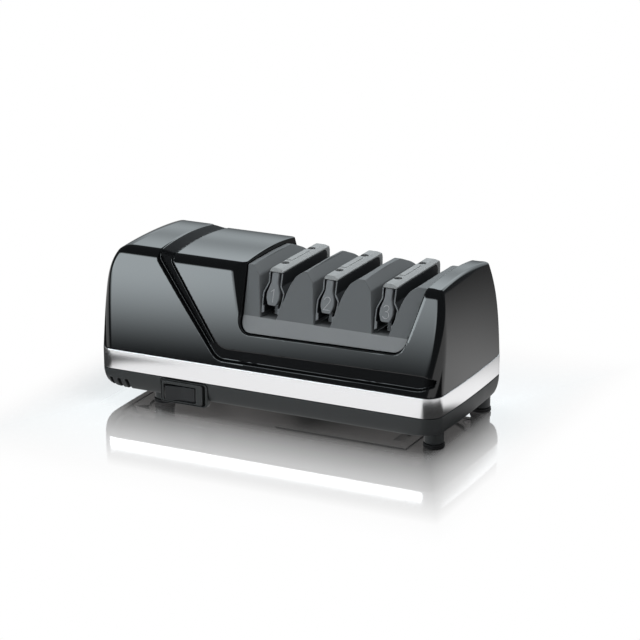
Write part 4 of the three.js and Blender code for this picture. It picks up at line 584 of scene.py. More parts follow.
def matt_groove(x, y, z):
    """Where the groove has its matt finish."""
    beaded = between(z, BEAD_LOW_Z, BEAD_HIGH_Z) <= 0
    return outline(x, z, GROOVE) < -np.where(beaded, MATT_IN_BEAD, MATT_IN)


# Guide module

MODULE_SIDE = rounded([
    (-LEDGE_HALF_LOW, OPENING_FLOOR_LEFT - 1, 0),
    (LEDGE_HALF_LOW, OPENING_FLOOR_LEFT - 1, 0),
    (LEDGE_HALF_HIGH, LEDGE_Z, 0),
    (38.4, RIDGE_Z - 11.5, 6),
    (32.0, RIDGE_Z - 4.2, 10),
    (21.0, RIDGE_Z + 0.45, 14),
    (0.0, RIDGE_Z + 0.9, 60),
    (-21.0, RIDGE_Z + 0.45, 30),
    (-RIDGE_HALF, RIDGE_Z, 0.6),
    (-LEDGE_HALF_HIGH, LEDGE_Z, 0),
])
SLOT = rounded([
    (-19.4, ABOVE, 0),
    (-16.3, RIDGE_Z, 0),
    (-11.2, RIDGE_Z - 6.1, 3),
    (-6.9, LEDGE_Z, 0),
    (4.4, LEDGE_Z, 0),
    (11.0, LEDGE_Z + 22.4, 30),
    (15.2, LEDGE_Z + 28.7, 8),
    (20.2, RIDGE_Z, 0),
    (22.6, ABOVE, 0),
])


def guide_module(x, y, z):
    inside = outline(x, z, OPENING) + SEAM
    body = common(outline(y, z, MODULE_SIDE) + 0 * x, inside, MODULE_EDGE)
    lower = block(
        x, y, z,
        (MODULE_X - MODULE_BODY_HALF, -MODULE_DEPTH_HALF, MODULE_LOW[2]),
        (MODULE_X + MODULE_BODY_HALF, MODULE_DEPTH_HALF, LEDGE_Z - DECK),
    )
    body = np.minimum(body, lower)
    for n in STAGES:
        body = common(body, -outline(x - SLOT_X[n], z, SLOT), MODULE_EDGE)
        deck = np.maximum(between(x - STAGE_X[n], -SLOT_HALF, SLOT_HALF), np.abs(y) - DECK_OPENING_HALF)
        body = np.maximum(body, -np.maximum(deck, z - LEDGE_Z - 1))
    hollow = block(
        x, y, z,
        (MODULE_X - MODULE_BODY_HALF + MODULE_WALL, -MODULE_DEPTH_HALF + MODULE_WALL, 0),
        (MODULE_X + MODULE_BODY_HALF - MODULE_WALL, MODULE_DEPTH_HALF - MODULE_WALL, LEDGE_Z - DECK),
    )
    return np.maximum(body, -hollow)


# Base pan

BASE_EDGE_FRONT = 4.2
BASE_EDGE_LEFT = 5.0
BASE_EDGE_RIGHT = 3.4
BASE_WALL = 3.0
FOOT_HEIGHT = 12.2
RIM_Z = FOOT_HEIGHT - 1.3  # a rim under the base hides the screws and the cover's edge
BASE_TOP = BAND_LOW[2] - GAP
FOOT_RADIUS = 6.4
PAD_HEIGHT = 3.4
PAD_HALF = 7.2
TREAD_PITCH = 1.6
TREAD_HALF = 0.25
TREAD_DEPTH = 0.25
LEFT_FEET_SHIFT = 1.2  # the left feet stand this much further in than the solids
SWITCH_LEFT, SWITCH_RIGHT = BEZEL_LOW[0] - 1.0, BEZEL_HIGH[0] + 1.6
SWITCH_LOW, SWITCH_HIGH = BEZEL_LOW[2] - 0.7, BEZEL_HIGH[2] + 2.9
SWITCH_FRONT, SWITCH_PLATE = BEZEL_LOW[1], BEZEL_LOW[1] + 4.6
VENT_FIRST = LEFT + 12.0
VENT_PITCH = 5.9
VENT_HALF = 1.15
VENT_LEAN = 0.28
VENT_HEIGHT = 5.6
VENT_DEPTH = 15.2
LIP_IN = 1.8  # the upright lip inside the band, and the hollow inside that
HOLLOW_IN = 7.8
HOLLOW_IN_TOP = 4.8
BASE_FLOOR = 2.7
STEM_FILLET = 0.8
COVER_SEAT = 1.1
COVER_LEDGE = 1.4
COVER_OPENING = 4.0
SWITCH_CUT_RADIUS = 2.4
GLAND_HOLE = 4.2
LEVER_SLOT_HALF = 7.5
LEVER_SLOT_Y = 43.5
LEVER_SLOT_END = 70.0
LEVER_SLOT_FRONT = 0.6
LEVER_SLOT_HEIGHT = 6.6


def foot_place(foot):
    fx, fy, _ = middle_mm(foot)
    return fx + LEFT_FEET_SHIFT * (fx < 0), fy


def base_pan(x, y, z):
    depth = np.abs(y)
    climb = np.clip((z - RIM_Z) / (BASE_TOP - RIM_Z), 0.004, 1)
    draw = 1 - np.sqrt(1 - (1 - climb) ** 2)
    tilt = (1 - climb) / np.sqrt(1 - (1 - climb) ** 2) / (BASE_TOP - RIM_Z)
    faces = (depth - HALF_DEPTH + BASE_EDGE_FRONT * draw) / np.sqrt(1 + (BASE_EDGE_FRONT * tilt) ** 2)
    bow = END_BOW * (depth / HALF_DEPTH) ** 2
    left = (LEFT + bow + BASE_EDGE_LEFT * draw - x) / np.sqrt(1 + (BASE_EDGE_LEFT * tilt) ** 2)
    right = (x - RIGHT + bow + BASE_EDGE_RIGHT * draw) / np.sqrt(1 + (BASE_EDGE_RIGHT * tilt) ** 2)
    sides = common(faces, np.maximum(left, right), CORNER_RADIUS_LOW)
    outer = common(sides, between(z, RIM_Z, BASE_TOP), 2 * GAP)
    outer = np.maximum(outer, -np.maximum(sides + BASE_WALL, z - FOOT_HEIGHT))
    plain = common(depth - HALF_DEPTH, np.maximum(LEFT + bow - x, x - RIGHT + bow), CORNER_RADIUS_LOW)
    lip = np.maximum(plain + LIP_IN, between(z, FOOT_HEIGHT + BASE_WALL, BAND_TOP))
    pan = np.minimum(outer, lip)
    well = np.maximum(np.maximum(plain + HOLLOW_IN, FOOT_HEIGHT + BASE_FLOOR - z), z - BAND_TOP - OVERRUN)
    well = np.minimum(well, np.maximum(plain + HOLLOW_IN_TOP, BASE_TOP - z))
    pan = np.maximum(pan, -well)
    for foot in FEET:
        fx, fy = foot_place(foot)
        stem = np.maximum(rod(x - fx, y - fy, FOOT_RADIUS), between(z, PAD_HEIGHT + GAP, FOOT_HEIGHT + 2))
        pan = join(pan, stem, STEM_FILLET)
    for screw in SCREWS:
        sx, sy, _ = middle_mm(screw)
        head = np.maximum(rod(x - sx, y - sy, SCREW_HEAD_RADIUS), z - FOOT_HEIGHT - SCREW_HEAD_RECESS)
        shank = np.maximum(rod(x - sx, y - sy, SCREW_HOLE_RADIUS), z - FOOT_HEIGHT - OVERRUN)
        pan = common(pan, -np.minimum(head, shank), GAP)
    low, high = box_mm("shavings_cover")
    seat = block(
        x, y, z, (low[0] - GAP, low[1] - GAP, 0),
        (high[0] + GAP, high[1] + GAP, FOOT_HEIGHT + COVER_SEAT))
    through = block(
        x, y, z, (low[0] + COVER_LEDGE, low[1] + COVER_LEDGE, 0),
        (high[0] - COVER_LEDGE, high[1] - COVER_LEDGE, FOOT_HEIGHT + COVER_OPENING))
    pan = np.maximum(pan, -np.minimum(seat, through))
    pan = np.maximum(pan, -block(
        x, y, z, (SWITCH_LEFT - GAP, -HALF_DEPTH - OVERRUN, 0),
        (SWITCH_RIGHT + GAP, BEZEL_HIGH[1] + GAP, SWITCH_HIGH + GAP), SWITCH_CUT_RADIUS))
    pan = np.maximum(pan, -np.maximum(rod(x - GLAND_X, z - GLAND_Z, GLAND_HOLE), HALF_DEPTH / 2 - y))
    slot = block(
        x, y, z, (LEVER_X - LEVER_SLOT_HALF, LEVER_SLOT_Y, LEVER_LOW[2] - LEVER_SLOT_FRONT),
        (LEVER_X + LEVER_SLOT_HALF, LEVER_SLOT_END, LEVER_LOW[2] + LEVER_SLOT_HEIGHT))
    pan = common(pan, -slot, GAP)
    for n in range(3):
        vx = VENT_FIRST + n * VENT_PITCH - VENT_LEAN * (z - FOOT_HEIGHT - 2)
        vent = np.maximum(np.abs(x - vx) - VENT_HALF, between(z, 0, FOOT_HEIGHT + VENT_HEIGHT))
        pan = common(pan, -np.maximum(vent, y + HALF_DEPTH - VENT_DEPTH), GAP)
    return pan


# Feet, switch, dressing lever and cord inlet

PAD = rounded([
    (-1, 0.0, 0), (5.9, 0.0, 0), (7.0, 0.8, 0.8), (7.0, 1.8, 0.2), (6.5, 2.1, 0.2),
    (6.9, 2.4, 0.2), (6.9, 3.1, 0.3), (6.3, 3.4, 0), (-1, 3.4, 0),
])
ROCKER_TURN = math.radians(6)
ROCKER_PIVOT = (-60.8, -50.79)
ROCKER_LOW, ROCKER_HIGH = BEZEL_LOW[2] + 1.5, BEZEL_HIGH[2] - 1.2
ROCKER = rounded([
    (-10.4, -6.25, 0.6), (0.4, -4.95, 20), (11.3, -6.0, 0.7), (10.6, -2.0, 0),
    (2.0, 1.6, 0), (-2.0, 1.6, 0), (-9.8, -2.0, 0),
])
LEVER_X = (LEVER_LOW[0] + LEVER_HIGH[0]) / 2
LEVER_PIVOT_Y = REACH - 17.9
GLAND_X, _, GLAND_Z = middle_mm("cord_gland")


def foot_pad(x, y, z):
    fx, fy = foot_place(FEET[0])
    around = np.hypot(x - fx, y - fy)
    tread = np.abs((around + 0.6) % TREAD_PITCH - TREAD_PITCH / 2) - TREAD_HALF
    return np.maximum(outline(around, z, PAD), -np.maximum(tread, z - TREAD_DEPTH))


def framed(x, z, low_x, high_x, low_z, high_z, radius):
    """Distance to an upright oblong with rounded corners."""
    a = np.abs(x - (low_x + high_x) / 2) - (high_x - low_x) / 2 + radius
    b = np.abs(z - (low_z + high_z) / 2) - (high_z - low_z) / 2 + radius
    return np.hypot(np.maximum(a, 0), np.maximum(b, 0)) + np.minimum(np.maximum(a, b), 0) - radius


def switch_bezel(x, y, z):
    outer = framed(x, z, SWITCH_LEFT, SWITCH_RIGHT, SWITCH_LOW, SWITCH_HIGH, 2.6)
    plate = common(outer, between(y, SWITCH_FRONT + 0.2, SWITCH_PLATE), 0.4)
    moat = framed(x, z, SWITCH_LEFT + 0.7, SWITCH_RIGHT - 1.5, SWITCH_LOW + 0.6, SWITCH_HIGH - 0.5, 2.2)
    plate = common(plate, -np.maximum(moat, y - SWITCH_FRONT - 3.4), 0.2)
    frame_edge = framed(x, z, SWITCH_LEFT + 1.1, SWITCH_RIGHT - 3.6, SWITCH_LOW + 1.0, SWITCH_HIGH - 0.9, 1.8)
    plate = np.minimum(plate, common(frame_edge, between(y, SWITCH_FRONT, SWITCH_PLATE), 0.5))
    rear = np.maximum(outer + 0.6, np.maximum(between(y, SWITCH_PLATE - 0.5, BEZEL_HIGH[1]), RIM_Z + 0.2 - z))
    whole = np.minimum(plate, rear)
    window = framed(x, z, -72.1, -48.2, ROCKER_LOW - 0.35, ROCKER_HIGH + 0.9, 0.7)
    whole = common(whole, -np.maximum(window, y - SWITCH_PLATE - 1), 0.25)
    hollow = framed(x, z, SWITCH_LEFT + 2.2, SWITCH_RIGHT - 4.6, ROCKER_LOW - 0.4, ROCKER_HIGH + 0.9, 0.5)
    return np.maximum(whole, -np.maximum(hollow, between(y, SWITCH_FRONT + 3.6, BEZEL_HIGH[1] - 2)))


def switch_rocker(x, y, z):
    c, s = math.cos(ROCKER_TURN), math.sin(ROCKER_TURN)
    across, out = x - ROCKER_PIVOT[0], y - ROCKER_PIVOT[1]
    profile = outline(across * c + out * s, out * c - across * s, ROCKER)
    return common(profile, between(z, ROCKER_LOW, ROCKER_HIGH), 0.5)


def switch_body(x, y, z):
    low, high = box_mm("switch_body")
    return block(x, y, z, (low[0], low[1], RIM_Z + 0.8), high, 0.4)


def dressing_lever(x, y, z):
    pin = np.maximum(rod(x - LEVER_X, y - LEVER_PIVOT_Y, 2.4), between(z, LEVER_LOW[2] + 0.3, LEVER_HIGH[2]))
    arm = block(
        x, y, z, (LEVER_X - 1.1, LEVER_LOW[1], SHAFT_Z - 3),
        (LEVER_X + 1.1, LEVER_PIVOT_Y, SHAFT_Z + 3), 0.3)
    tab_low, tab_high = LEVER_LOW[2] + 1, LEVER_LOW[2] + 5
    tab = block(x, y, z, (LEVER_X - 2.5, LEVER_PIVOT_Y, tab_low), (LEVER_X + 2.5, REACH - 1, tab_high), 0.3)
    grip = block(x, y, z, (LEVER_X - 5, REACH - 5.4, LEVER_LOW[2]), (LEVER_X + 5, REACH, tab_high + 1), 0.9)
    rib = np.abs((x - LEVER_X + 0.8) % 1.6 - 0.8) - 0.3
    grip = common(grip, -np.maximum(rib, np.maximum(REACH - 0.5 - y, np.abs(x - LEVER_X) - 3.6)), 0.1)
    return join(join(join(pin, arm, 0.6), tab, 0.6), grip, 0.6)


def cord_gland(x, y, z):
    around = np.hypot(x - GLAND_X, z - GLAND_Z)
    body = np.maximum(around - 3.9, between(y, 49.0, HALF_DEPTH + GAP))
    flange = common(around - 5.1, between(y, HALF_DEPTH + GAP, REACH), 0.6)
    return common(join(body, flange, 0.2), 2.4 - around, 0.5)


# Blade guides, modelled at the first stage

FIRST_X = GUIDE_X[1]
TOP_FRONT_Z = RIDGE_Z - 0.6
TOP_REAR_Z = TOP_FRONT_Z + 0.4
FRONT_LEAN = (LEDGE_HALF_HIGH - RIDGE_HALF) / (RIDGE_Z - LEDGE_Z)
RAIL_UNDER = 2.7
RAIL_LEFT, RAIL_RIGHT = -4.9, 4.6
RAIL_MIDDLE = -1.3
TOWER_MIDDLE = -0.75
TOWER_REAR = 30.7
RAIL_REAR, RAIL_REAR_INSIDE = 35, 31
RAIL_DOWN = 12  # how far the rail's rear end comes down
RAIL_PLATE_HALF = 2.1
RAIL_PLATE_LENGTH = 26
RAIL_SEAT_RADIUS = 2.75
RAIL_SEAT_DEPTH = 1.9
RAIL_BORE = 1.1
NUMERAL_Z = 84.2
NUMERAL_WIDTH = 1.15  # the figures are this much wider than drawn
NUMERAL_RAISE = 0.22
SCREW_Y = [middle_mm(f"rail_screw_1_{end}")[1] for end in ("front", "rear")]
TOWER = rounded([
    (-6, 104, 0), (2.5, 104, 0), (2.5, 92.2, 6), (4.65, 85.6, 4),
    (4.65, 82.2, 3), (3.0, 77.9, 1.5), (-6, 77.9, 0),
])
LEAF_FRONT = box_mm("guide_leaf_1_left")[0][1] - 0.5
LEAF_PATHS = {
    -1: [(-4.95, 98.6), (-4.5, 92.3), (-7.55, 85.5), (-7.55, 79.5), (-7.1, 73.2)],
    1: [(4.05, 98.6), (4.15, 90.2), (6.85, 86.0), (6.35, 80.5), (4.7, 73.5)],
}
LEAF_TOES = {
    -1: [(-7.5, 78.0), (-6.0, 77.4), (-5.6, 73.4), (-7.2, 73.2)],
    1: [(3.7, 76.6), (6.0, 76.9), (5.4, 73.0), (3.9, 72.8)],
}
NUMERALS = {
    1: [[(-0.16, 0.80), (0.04, 1.0), (0.04, 0.0)]],
    2: [[(-0.22, 0.78), (-0.19, 0.90), (-0.09, 0.98), (0.04, 1.0), (0.16, 0.94), (0.22, 0.82), (0.20, 0.68),
         (0.10, 0.50), (-0.23, 0.01), (0.24, 0.01)]],
    3: [[(-0.20, 0.86), (-0.12, 0.96), (0.02, 1.0), (0.15, 0.94), (0.20, 0.80), (0.16, 0.64), (0.04, 0.55),
         (-0.06, 0.54), (0.06, 0.54), (0.18, 0.46), (0.23, 0.28), (0.18, 0.10), (0.04, 0.0), (-0.12, 0.03),
         (-0.22, 0.16)]],
}


def front_at(z):
    return 1.5 - LEDGE_HALF_HIGH + FRONT_LEAN * (z - LEDGE_Z)


def rail_top(y):
    front = front_at(TOP_FRONT_Z)
    return np.interp(y, [front, front / 3, 31], [TOP_FRONT_Z, (2 * TOP_REAR_Z + TOP_FRONT_Z) / 3, TOP_REAR_Z])


def side_view(y, z, drop, rear, forward=0.0):
    """Distance to a guide's side view, whose top lies lower by a drop."""
    front = front_at(TOP_FRONT_Z - drop)
    return outline(y, z, np.array([
        (front_at(LEDGE_Z) - forward, LEDGE_Z + GAP),
        (rear, LEDGE_Z + GAP),
        (rear, TOP_REAR_Z - drop - 4),
        (rear - 0.9, TOP_REAR_Z - drop - 1.8),
        (rear - 2.3, TOP_REAR_Z - drop - 0.5),
        (rear - 4, TOP_REAR_Z - drop),
        (front / 3, (2 * TOP_REAR_Z + TOP_FRONT_Z) / 3 - drop),
        (front - forward, TOP_FRONT_Z - drop),
    ]))


def guide_tower(x, y, z):
    u = x - FIRST_X - TOWER_MIDDLE
    side = side_view(y, z, RAIL_UNDER + GAP, TOWER_REAR) + 0 * x
    tower = common(outline(np.abs(u), z, TOWER), side, 0.7)
    tongue = np.maximum(np.maximum(np.abs(u) - 1.2, side), np.maximum(z - 80, front_at(z) + 8 - y))
    tower = np.minimum(tower, tongue)
    for screw_y in SCREW_Y:
        hole = np.maximum(rod(x - FIRST_X - RAIL_MIDDLE, y - screw_y, RAIL_BORE), 90 - z)
        tower = np.maximum(tower, -hole)
    return tower


def guide_rail(x, y, z):
    u = x - FIRST_X
    under = side_view(y, z, RAIL_UNDER, RAIL_REAR_INSIDE, OVERRUN)
    strip = common(side_view(y, z, 0, RAIL_REAR), -under, 0.2)
    strip = np.maximum(strip, TOP_REAR_Z - RAIL_DOWN - z)
    top = rail_top(y)
    left = ((RAIL_LEFT - u) * 1.3 + (z - top + 1.3) * 1.2) / math.hypot(1.3, 1.2)
    right = ((u - RAIL_RIGHT) * 1.6 + (z - top + 1.6) * 3.3) / math.hypot(1.6, 3.3)
    rail = common(common(between(u, RAIL_LEFT, RAIL_RIGHT), strip, 0.3), np.maximum(left, right), 0.3)
    u = u - RAIL_MIDDLE
    half, end = RAIL_PLATE_HALF, RAIL_PLATE_LENGTH / 2
    plate = block(u, y, z - top, (-half, -end, -1), (half, end, 0.45), 0.4)
    rail = join(rail, plate, 0.1)
    for screw_y in SCREW_Y:
        seat = rod(u, y - screw_y, RAIL_SEAT_RADIUS)
        rail = common(rail, -np.maximum(seat, top - RAIL_SEAT_DEPTH - z), 0.25)
        rail = np.maximum(rail, -rod(u, y - screw_y, RAIL_BORE))
    return rail


def guide_leaf(side):
    def field(x, y, z):
        u = x - FIRST_X
        strip = ribbon(u, z, LEAF_PATHS[side], size("leaf_thickness") / 2)
        strip = join(strip, outline(u, z, np.array(LEAF_TOES[side])), 0.3)
        return common(strip + 0 * y, side_view(y, z, RAIL_UNDER + GAP, TOWER_REAR), 0.25)
    return field


def rail_screw(x, y, z):
    u, v, top = x - FIRST_X - RAIL_MIDDLE, y - SCREW_Y[0], rail_top(SCREW_Y[0])
    head = common(rod(u, v, 2.25), between(z, top - RAIL_SEAT_DEPTH, top - 0.9), 0.35)
    arms = np.minimum(block(u, v, z, (-1.3, -0.28, top - 1.5), (1.3, 0.28, top + 1)),
                      block(u, v, z, (-0.28, -1.3, top - 1.5), (0.28, 1.3, top + 1)))
    shank = np.maximum(rod(u, v, 0.8), between(z, top - 8, top - 1.8))
    return np.minimum(np.maximum(head, -arms), shank)


def numeral(n):
    """The raised figure on the front of a stage's tower."""
    def field(x, y, z):
        high = size("numeral_height")
        u = (x - GUIDE_X[n] - TOWER_MIDDLE) / high / NUMERAL_WIDTH
        v = (z - NUMERAL_Z) / high + 0.5
        stroke = np.inf
        for path in NUMERALS[n]:
            stroke = np.minimum(stroke, ribbon(u, v, path, 0) * high)
        stroke = stroke - size("numeral_stroke") / 2
        return common(stroke, between(y - front_at(z), -NUMERAL_RAISE, 0.3), 0.1)
    return field


# Grinding discs: distances from the slot's middle, then radii

DISC_FACE, DISC_RIM, DISC_BACK, DISC_END = 3.0, 4.6, 8.0, 9.0
DISC_BACK_RADIUS, DISC_HUB_RADIUS, DISC_BORE = 8.0, 7.0, 2.6


def grinding_disc(side):
    def field(x, y, z):
        out = side * (x - STAGE_X[1])
        around = np.hypot(y, z - SHAFT_Z)
        profile = rounded([
            (DISC_BORE, DISC_FACE, 0), (DISC_RADIUS, DISC_FACE, 0.3), (DISC_RADIUS, DISC_RIM, 0.4),
            (DISC_BACK_RADIUS, DISC_BACK, 2), (DISC_HUB_RADIUS, DISC_END, 0.3), (DISC_BORE, DISC_END, 0),
        ])
        return outline(around, out, profile)
    return field


# Pieces of the body

class SHARPENER_OT_upper_housing(bpy.types.Operator):
    """Models the gloss black upper housing with its groove and opening"""
    bl_idname = "sharpener.upper_housing"
    bl_label = "Upper housing"

    def execute(self, context):
        piece = skin("upper_shell", upper_housing, HOUSING_LOW, HOUSING_HIGH, 0.5, 90000)
        dress(piece, "gloss_black", "housing", "upper_housing")
        paint(piece, "channel_black", matt_groove)
        return {"FINISHED"}


def band_ring(z, inset, steps=24):
    """One rounded, slightly bowed plan section of the band."""
    half, radius = HALF_DEPTH - inset, CORNER_RADIUS_LOW - inset
    corners = [(RIGHT - inset, -half, radius), (RIGHT - inset, half, radius),
               (LEFT + inset, half, radius), (LEFT + inset, -half, radius)]
    ring = []
    plan = rounded(corners, math.radians(90 / steps))
    for i, point in enumerate(plan):
        following = plan[(i + 1) % len(plan)]
        pieces = max(1, round(np.hypot(*(following - point)) / 5))
        ring += [point + (following - point) * k / pieces for k in range(pieces)]
    half_length = (RIGHT - LEFT) / 2
    shares = [np.clip((x - LEFT - half_length) / (half_length - radius), -1, 1) for x, y in ring]
    return [(x - share * END_BOW * (y / HALF_DEPTH) ** 2, y, z) for (x, y), share in zip(ring, shares)]


def lofted(name, rings):
    """A closed tube of rings, joined end to end."""
    count = len(rings[0])
    places = np.array([point for ring in rings for point in ring])
    faces = []
    for r in range(len(rings)):
        below, above = r * count, (r + 1) % len(rings) * count
        for i in range(count):
            j = (i + 1) % count
            faces.append((below + i, below + j, above + j, above + i))
    return place(name, new_mesh(name, places, faces))


class SHARPENER_OT_trim_band(bpy.types.Operator):
    """Models the silver band round the body, left bare"""
    bl_idname = "sharpener.trim_band"
    bl_label = "Silver band"

    def execute(self, context):
        edge = size("band_edge")
        low, high = BAND_LOW[2], BAND_HIGH[2]
        inner = 1.5
        turns = [(1 - math.cos(a), 1 - math.sin(a)) for a in (0.5, 1.0, 1.57)]
        rings = [band_ring(low, inner), band_ring(low, edge)]
        rings += [band_ring(low + edge * rise, edge * inset) for rise, inset in turns]
        rings += [band_ring(high - edge * rise, edge * inset) for rise, inset in reversed(turns)]
        rings += [band_ring(high, edge), band_ring(high, inner)]
        piece = lofted("silver_band", rings)
        piece.data.polygons.foreach_set("use_smooth", [True] * len(piece.data.polygons))
        piece.data.set_sharp_from_angle(angle=math.radians(40))
        dress(piece, "silver_band", "housing", "trim_band")
        return {"FINISHED"}


class SHARPENER_OT_base_pan(bpy.types.Operator):
    """Models the satin black base with its vents, foot posts and recesses"""
    bl_idname = "sharpener.base_pan"
    bl_label = "Base"

    def execute(self, context):
        piece = skin("base_shell", base_pan, PAN_LOW, PAN_HIGH, 0.5, 60000)
        dress(piece, "satin_black", "housing", "base_pan")
        return {"FINISHED"}


class SHARPENER_OT_guide_module(bpy.types.Operator):
    """Models the grey module with its ledge, fins and blade slots"""
    bl_idname = "sharpener.guide_module"
    bl_label = "Guide module"

    def execute(self, context):
        low, high = MODULE_LOW - (1, 0, 0), MODULE_HIGH + (OPENING_FLARE, 0, 0)
        piece = skin("module_shell", guide_module, low, high, 0.5, 50000)
        dress(piece, "module_grey", "housing", "guide_module")
        # painted light: the ledge's faces get a lighter copy of the module grey
        paint(piece, "ledge_grey", lambda x, y, z: (
            (z < LEDGE_Z + 0.25) & (np.abs(y) > LEDGE_HALF_HIGH - 0.4)))
        return {"FINISHED"}


class SHARPENER_OT_blade_guides(bpy.types.Operator):
    """Models the towers, rails, spring leaves, screws and figures of the three stages"""
    bl_idname = "sharpener.blade_guides"
    bl_label = "Blade guides"

    def execute(self, context):
        low = (TOWER_LOW[0] - 1.5, TOWER_LOW[1] - 1, TOWER_LOW[2])
        tower = skin("tower_1", guide_tower, low, TOWER_HIGH, 0.4, 14000)
        low = (RAIL_LOW[0] - 1.2, RAIL_LOW[1], RAIL_LOW[2])
        high = (RAIL_HIGH[0] + 0.3, RAIL_HIGH[1], RAIL_HIGH[2] + 1)
        rail = skin("rail_1", guide_rail, low, high, 0.3, 20000)
        sets = [(tower, "tower_{}", "tower_grey", "housing", "guide_tower_{}"),
                (rail, "rail_{}", "guide_grey", "housing", "guide_rail_{}")]
        for side, word in ((-1, "left"), (1, "right")):
            box_low = (FIRST_X + (-8.6 if side < 0 else 3), LEAF_FRONT, LEDGE_Z)
            box_high = (FIRST_X + (-3 if side < 0 else 8.6), 31, RIDGE_Z)
            leaf = skin(f"leaf_1_{word}", guide_leaf(side), box_low, box_high, 0.3, 12000)
            node = "guide_leaf_{}_" + word
            # the leaves' sides get painted shade, and their front faces keep the towers' grey
            sets.append((leaf, "leaf_{}_" + word, "leaf_black", node, node))
        for first, name, look, body, node in sets:
            for n in STAGES:
                piece = first if n == 1 else moved_copy(first, name.format(n), (GUIDE_X[n] - FIRST_X, 0, 0))
                dress(piece, "guide_grey", body.format(n), node.format(n), look=look)
                # painted shade on the leaves' sides; the front faces keep the towers' grey plastic
                if look == "leaf_black":
                    paint(piece, "tower_grey", lambda x, y, z: y < front_at(z) + 0.3)
        top = rail_top(SCREW_Y[0])
        middle = FIRST_X + RAIL_MIDDLE
        low = (middle - 2.5, SCREW_Y[0] - 2.5, top - 8.2)
        high = (middle + 2.5, SCREW_Y[0] + 2.5, top)
        screw = skin("rail_screw_head_1_front", rail_screw, low, high, 0.2, 2600)
        rise = rail_top(SCREW_Y[1]) - top
        for n in STAGES:
            for end, shift in (("front", (0, 0)), ("rear", (SCREW_Y[1] - SCREW_Y[0], rise))):
                piece = screw
                if (n, end) != (1, "front"):
                    piece = moved_copy(screw, f"rail_screw_head_{n}_{end}", (GUIDE_X[n] - FIRST_X, *shift))
                dress(piece, "steel", "housing", f"rail_screw_{n}_{end}", look="dark_steel")
            half = size("numeral_height") / 2 + 1
            foot, head = NUMERAL_Z - half, NUMERAL_Z + half
            low = (GUIDE_X[n] - 4, front_at(foot) - 1, foot)
            high = (GUIDE_X[n] + 3, front_at(head) + 1, head)
            figure = skin(f"figure_{n}", numeral(n), low, high, 0.16, 2400)
            dress(figure, "guide_grey", "housing", look="numeral_grey")
        return {"FINISHED"}


class SHARPENER_OT_feet(bpy.types.Operator):
    """Models the four rubber foot pads"""
    bl_idname = "sharpener.feet"
    bl_label = "Feet"

    def execute(self, context):
        fx, fy = foot_place(FEET[0])
        low, high = (fx - PAD_HALF, fy - PAD_HALF, 0), (fx + PAD_HALF, fy + PAD_HALF, PAD_HEIGHT)
        pad = skin("rubber_foot_front_left", foot_pad, low, high, 0.25, 9000)
        for foot in FEET:
            x, y = foot_place(foot)
            piece = pad
            if foot != FEET[0]:
                piece = moved_copy(pad, foot.replace("foot_pad", "rubber_foot"), (x - fx, y - fy, 0))
            dress(piece, "rubber", "housing", foot)
        return {"FINISHED"}


class SHARPENER_OT_switch(bpy.types.Operator):
    """Models the rocker switch and its frame"""
    bl_idname = "sharpener.switch"
    bl_label = "Switch"

    def execute(self, context):
        low = (SWITCH_LEFT, SWITCH_FRONT, SWITCH_LOW)
        high = (SWITCH_RIGHT, BEZEL_HIGH[1], SWITCH_HIGH)
        piece = skin("switch_frame", switch_bezel, low, high, 0.28, 26000)
        dress(piece, "satin_black", "housing", "switch_bezel")
        low, high = box_mm("switch_rocker")
        piece = skin("rocker_cap", switch_rocker, low - 1.5, high + 1.5, 0.28, 9000)
        dress(piece, "satin_black", "rocker", "switch_rocker", look="rocker_black")
        low, high = box_mm("switch_body")
        piece = skin("switch_core", switch_body, low, high, 0.5, 2000)
        dress(piece, "satin_black", "housing", "switch_body")
        return {"FINISHED"}


class SHARPENER_OT_grinding_discs(bpy.types.Operator):
    """Models the six grinding discs"""
    bl_idname = "sharpener.grinding_discs"
    bl_label = "Grinding discs"

    def execute(self, context):
        for side, word in ((-1, "left"), (1, "right")):
            low, high = box_mm(f"disc_1_{word}")
            disc = skin(f"grit_disc_1_{word}", grinding_disc(side), low, high, 0.45, 16000)
            for n in STAGES:
                piece = disc
                if n > 1:
                    piece = moved_copy(disc, f"grit_disc_{n}_{word}", ((n - 1) * PITCH, 0, 0))
                dress(piece, "abrasive", f"disc_{n}_{word}", f"disc_{n}_{word}")
        return {"FINISHED"}


class SHARPENER_OT_lever_and_inlet(bpy.types.Operator):
    """Models the dressing lever and the cord's inlet at the back"""
    bl_idname = "sharpener.lever_and_inlet"
    bl_label = "Dressing lever and cord inlet"

    def execute(self, context):
        piece = skin("lever", dressing_lever, LEVER_LOW, LEVER_HIGH, 0.3, 14000)
        dress(piece, "satin_black", "dresser", "dressing_lever")
        low, high = box_mm("cord_gland")
        piece = skin("inlet", cord_gland, low, high, 0.25, 7000)
        dress(piece, "rubber", "housing", "cord_gland")
        return {"FINISHED"}


class SHARPENER_OT_carried_pieces(bpy.types.Operator):
    """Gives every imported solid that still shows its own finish"""
    bl_idname = "sharpener.carried_pieces"
    bl_label = "Carried pieces"

    def execute(self, context):
        for name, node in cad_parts.items():
            slot = node.data.materials[0].name.split(".")[0] if node.data.materials else "satin_black"
            look = "dark_steel" if name in SCREWS else slot
            for i in range(len(node.material_slots)):
                node.material_slots[i].link = "OBJECT"
                node.material_slots[i].material = finish(look)
        return {"FINISHED"}


# Studio

